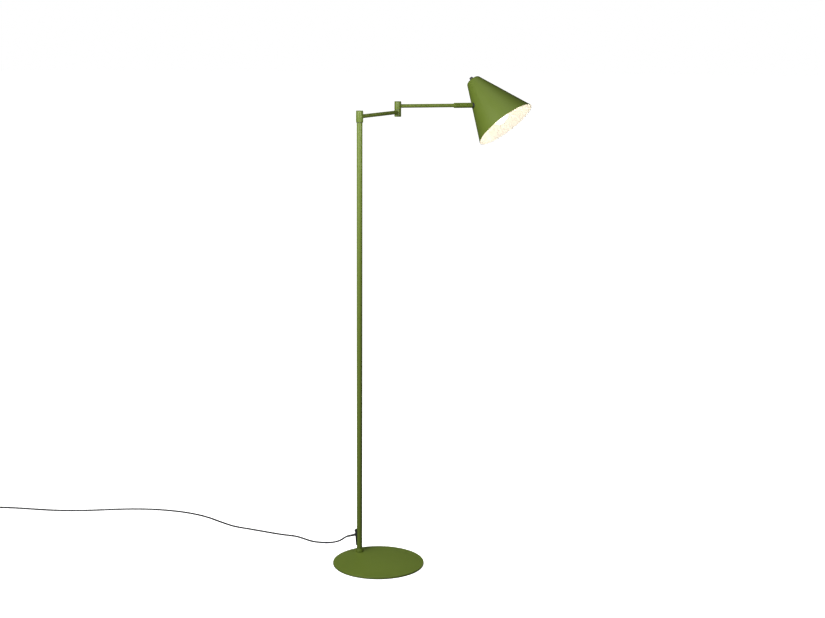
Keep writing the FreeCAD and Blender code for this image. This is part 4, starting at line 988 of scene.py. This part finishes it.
# %% Lamp holder
SWITCH_HEIGHT = 26
HOLDER_HEIGHT = 57
HOLDER_RADIUS = 18.5
HOLDER_LOW = SHADE_LENGTH - SHADE_WALL - SWITCH_HEIGHT - HOLDER_HEIGHT
HOLDER_HIGH = HOLDER_LOW + HOLDER_HEIGHT
SOCKET_RADIUS = 13.7
SOCKET_DEPTH = 30
HOLDER_FLOOR = HOLDER_LOW + SOCKET_DEPTH
MOUTH_LIP = 16.5
SKIRT_RADIUS = 18.0
SKIRT_HEIGHT = 12
GRIP_START = 16
GRIP_PITCH = 4
GRIP_WIDTH = 2.4
GRIP_DEPTH = 0.9
GRIP_COUNT = 5
GRIP_END = 38
GRIP_ROUND = 0.4
GROOVE_ROUND = 0.3
CROWN_RADIUS = 14.5
CROWN_HEIGHT = 5
grips = []
for ridge in range(GRIP_COUNT):
    level = HOLDER_LOW + GRIP_START + GRIP_PITCH * ridge
    groove = HOLDER_RADIUS - GRIP_DEPTH
    grips += [(HOLDER_RADIUS, level, GRIP_ROUND), (HOLDER_RADIUS, level + GRIP_WIDTH, GRIP_ROUND),
              (groove, level + GRIP_WIDTH, GROOVE_ROUND), (groove, level + GRIP_PITCH, GROOVE_ROUND)]
skirt = [(SOCKET_RADIUS, HOLDER_LOW), (MOUTH_LIP, HOLDER_LOW, 0.8),
         (SKIRT_RADIUS, HOLDER_LOW + SKIRT_HEIGHT, 1.0)]
crown = [(HOLDER_RADIUS, HOLDER_LOW + GRIP_END, 0.6), (HOLDER_RADIUS, HOLDER_HIGH - CROWN_HEIGHT, 2.0),
         (CROWN_RADIUS, HOLDER_HIGH, 0.5)]
inside = [(0, HOLDER_HIGH), (0, HOLDER_FLOOR), (SOCKET_RADIUS, HOLDER_FLOOR)]
turned("bulb_socket", skirt + grips + crown + inside, shade_place, "shade", "holder_plastic", "lamp_holder",
       coat=HOLDER_PLASTIC, sides=96, steps=4)

# %% Bulb glass
BULB_RADIUS = 30
BULB_LENGTH = 107
GLASS_WALL = 1
CAP_RADIUS = 13.2
CAP_HEIGHT = 22
TIP_HEIGHT = 3
CONTACT_HEIGHT = 1.6
CONTACT_LOW = HOLDER_FLOOR - CONTACT_HEIGHT
BULB_CROWN = CONTACT_LOW - BULB_LENGTH
CAP_LOW = CONTACT_LOW - TIP_HEIGHT - CAP_HEIGHT
SIDE_FLOW = 24
NECK_FLOW = 18
SWELL = math.radians(28)
SWELL_STEPS = 40
NECK_STEPS = 24


def bezier(first, second, third, last, share):
    """A point on a cubic curve."""
    rest = 1 - share
    start = first * rest ** 3 + second * 3 * rest ** 2 * share
    return start + third * 3 * rest * share ** 2 + last * share ** 3


def bulb_profile(inset):
    """Points from the crown up to the neck, each a (radius, height) pair, inset by the glass."""
    radius = BULB_RADIUS - inset
    centre = BULB_CROWN + BULB_RADIUS
    spots = []
    for step in range(1, SWELL_STEPS + 1):
        angle = -math.pi / 2 + (math.pi / 2 + SWELL) * step / SWELL_STEPS
        spots.append((radius * math.cos(angle), centre + radius * math.sin(angle)))
    side = Vector((spots[-1][0], spots[-1][1]))
    flow = Vector((-math.sin(SWELL), math.cos(SWELL)))
    lip = Vector((CAP_RADIUS - inset, CAP_LOW))
    for step in range(1, NECK_STEPS + 1):
        spot = bezier(side, side + flow * SIDE_FLOW, lip - Vector((0, NECK_FLOW)), lip, step / NECK_STEPS)
        spots.append((spot.x, spot.y))
    return spots


outer_glass = bulb_profile(0)
inner_glass = bulb_profile(GLASS_WALL)
glass_outline = [(0, BULB_CROWN)] + outer_glass + list(reversed(inner_glass)) + [(0, BULB_CROWN + GLASS_WALL)]
bulb_glass = turned("frosted_bulb", glass_outline, shade_place, "shade", "bulb_glass", "bulb_globe",
                    coat=FROSTED_GLASS, sides=96, steps=1)
bulb_glass.visible_shadow = False

# %% Screw cap of the bulb
CAP_INNER = 10.2
CAP_TAPER = 2
CAP_BAND = 1.6
CAP_FLOOR = CAP_LOW + CAP_HEIGHT - CAP_TAPER
CAP_TOP = CAP_LOW + CAP_HEIGHT
THREAD_DEPTH = 0.8
THREAD_PITCH = 3.4
THREAD_START = 3
THREAD_COUNT = 5
VALLEY_ROUND = 0.5
CREST_ROUND = 0.6
CAP_EDGE = 0.4
thread = []
for ridge in range(THREAD_COUNT):
    level = CAP_LOW + THREAD_START + THREAD_PITCH * ridge
    thread += [(CAP_RADIUS - THREAD_DEPTH, level, VALLEY_ROUND),
               (CAP_RADIUS, level + THREAD_PITCH / 2, CREST_ROUND)]
rim = [(CAP_INNER, CAP_LOW), (CAP_RADIUS, CAP_LOW, 0.2), (CAP_RADIUS, CAP_LOW + CAP_BAND, 0.3)]
end = [(CAP_RADIUS - THREAD_DEPTH, CAP_FLOOR, CAP_EDGE), (CAP_INNER, CAP_TOP, CAP_EDGE), (0, CAP_TOP),
       (0, CAP_FLOOR), (CAP_INNER, CAP_FLOOR)]
turned("bulb_screw_cap", rim + thread + end, shade_place, "shade", "nickel", "bulb_cap", coat=NICKEL,
       sides=96, steps=3)

# %% Light of the bulb
BULB_WATTS = 0.42
BULB_TINT = (1.0, 0.90, 0.73)
BULB_SOFTNESS = 0.028
bulb_light = added("bulb_light", bpy.data.lights.new("bulb_light", "POINT"))
bulb_light.location = MOUTH + SHADE_WAY * (BULB_CROWN + BULB_RADIUS) * MM
bulb_light.data.energy = BULB_WATTS
bulb_light.data.color = BULB_TINT
bulb_light.data.shadow_soft_size = BULB_SOFTNESS
bulb_light.parent = frame["bodies"]["shade"]
print("the bulb's light is %.2f W" % bulb_light.data.energy)

# %% [markdown]
# ## Strain relief
#
# Where the cord leaves the post, a tapered rubber sleeve keeps it from bending sharply. Real ones are
# ringed so that they flex. The rings could be cut into the sleeve, but raised rings are how the mould
# makes them: a tree sets one soft ring on each step of a line and shrinks it towards the tip.

# %% Ringed sleeve tree
SLEEVE_STEPS = 4
RING_SIDES = 12


def make_ringed_group():
    """A tapered sleeve from an outline, with rings along it that get smaller towards the tip."""
    group, given, result = new_piece_group("ringed_sleeve", [
        ("Outline", "NodeSocketGeometry"), ("Sides", "NodeSocketInt"), ("Rings", "NodeSocketInt"),
        ("First ring", "NodeSocketFloat"), ("Ring step", "NodeSocketFloat"),
        ("Ring radius", "NodeSocketFloat"), ("Ring thickness", "NodeSocketFloat"),
        ("Tip scale", "NodeSocketFloat"), ("Finish", "NodeSocketMaterial")])
    coat = given["Finish"]
    skin = on_lathe(group, given["Outline"], given["Sides"], SLEEVE_STEPS, coat, coat)
    hoop = node(group, "GeometryNodeCurvePrimitiveCircle", Resolution=given["Sides"],
                Radius=given["Ring radius"]).outputs[0]
    section = node(group, "GeometryNodeCurvePrimitiveCircle", Resolution=RING_SIDES,
                   Radius=given["Ring thickness"]).outputs[0]
    ring = node(group, "GeometryNodeCurveToMesh", Curve=hoop, Profile_Curve=section).outputs[0]
    step = node(group, "ShaderNodeCombineXYZ", Z=given["Ring step"]).outputs[0]
    first = node(group, "ShaderNodeCombineXYZ", Z=given["First ring"]).outputs[0]
    line = node(group, "GeometryNodeMeshLine", Count=given["Rings"], Start_Location=first,
                Offset=step).outputs[0]
    index = node(group, "GeometryNodeInputIndex").outputs[0]
    last = maths(group, "SUBTRACT", given["Rings"], 1.0)
    share = maths(group, "DIVIDE", index, last)
    loss = maths(group, "MULTIPLY", share, maths(group, "SUBTRACT", 1.0, given["Tip scale"]))
    scale = maths(group, "SUBTRACT", 1.0, loss)
    rings = node(group, "GeometryNodeInstanceOnPoints", Points=line, Instance=ring, Scale=scale).outputs[0]
    both = group.nodes.new("GeometryNodeJoinGeometry")
    group.links.new(rings, both.inputs[0])
    group.links.new(skin, both.inputs[0])
    whole = node(group, "GeometryNodeRealizeInstances", Geometry=both.outputs[0]).outputs[0]
    painted = node(group, "GeometryNodeSetMaterial", Geometry=whole, Material=coat).outputs[0]
    group.links.new(painted, result["Piece"])
    return group


RINGED = make_ringed_group()
print("ringed group has", len(RINGED.nodes), "nodes")

# %% Strain relief
RELIEF_LENGTH = 24
RELIEF_CORE = 3.3
RELIEF_TIP_CORE = 2.75
RELIEF_FLANGE = 4.0
RELIEF_FLANGE_HEIGHT = 1.6
RELIEF_NECK = 2.2
RELIEF_ROUND = 0.4
RING_COUNT = 7
FIRST_RING = 4.2
RING_STEP = 3.0
RING_RADIUS = 3.1
RING_THICKNESS = 0.62
TIP_SCALE = 0.83
relief_outline = outline_mesh("relief_outline", [
    (0, 0), (RELIEF_FLANGE, 0, RELIEF_ROUND / 2), (RELIEF_FLANGE, RELIEF_FLANGE_HEIGHT, RELIEF_ROUND),
    (RELIEF_CORE, RELIEF_NECK, RELIEF_ROUND), (RELIEF_TIP_CORE, RELIEF_LENGTH, RELIEF_ROUND),
    (0, RELIEF_LENGTH)])
relief_mesh = settled(grown("relief", RINGED, {
    "Sides": 48, "Rings": RING_COUNT, "First ring": FIRST_RING * MM, "Ring step": RING_STEP * MM,
    "Ring radius": RING_RADIUS * MM, "Ring thickness": RING_THICKNESS * MM, "Tip scale": TIP_SCALE,
    "Finish": BLACK_MOULDING}, relief_outline), crease=60)
relief = piece("ringed_relief", relief_mesh, along(RELIEF_ROOT, RELIEF_TIP - RELIEF_ROOT), "base",
               "black_plastic", "strain_relief")

# %% [markdown]
# ## The cord's sheath
#
# The last cell prints the thickness of the cord's sheath.

print("cord declared with", CORD_THICK / MM, "mm sheath")
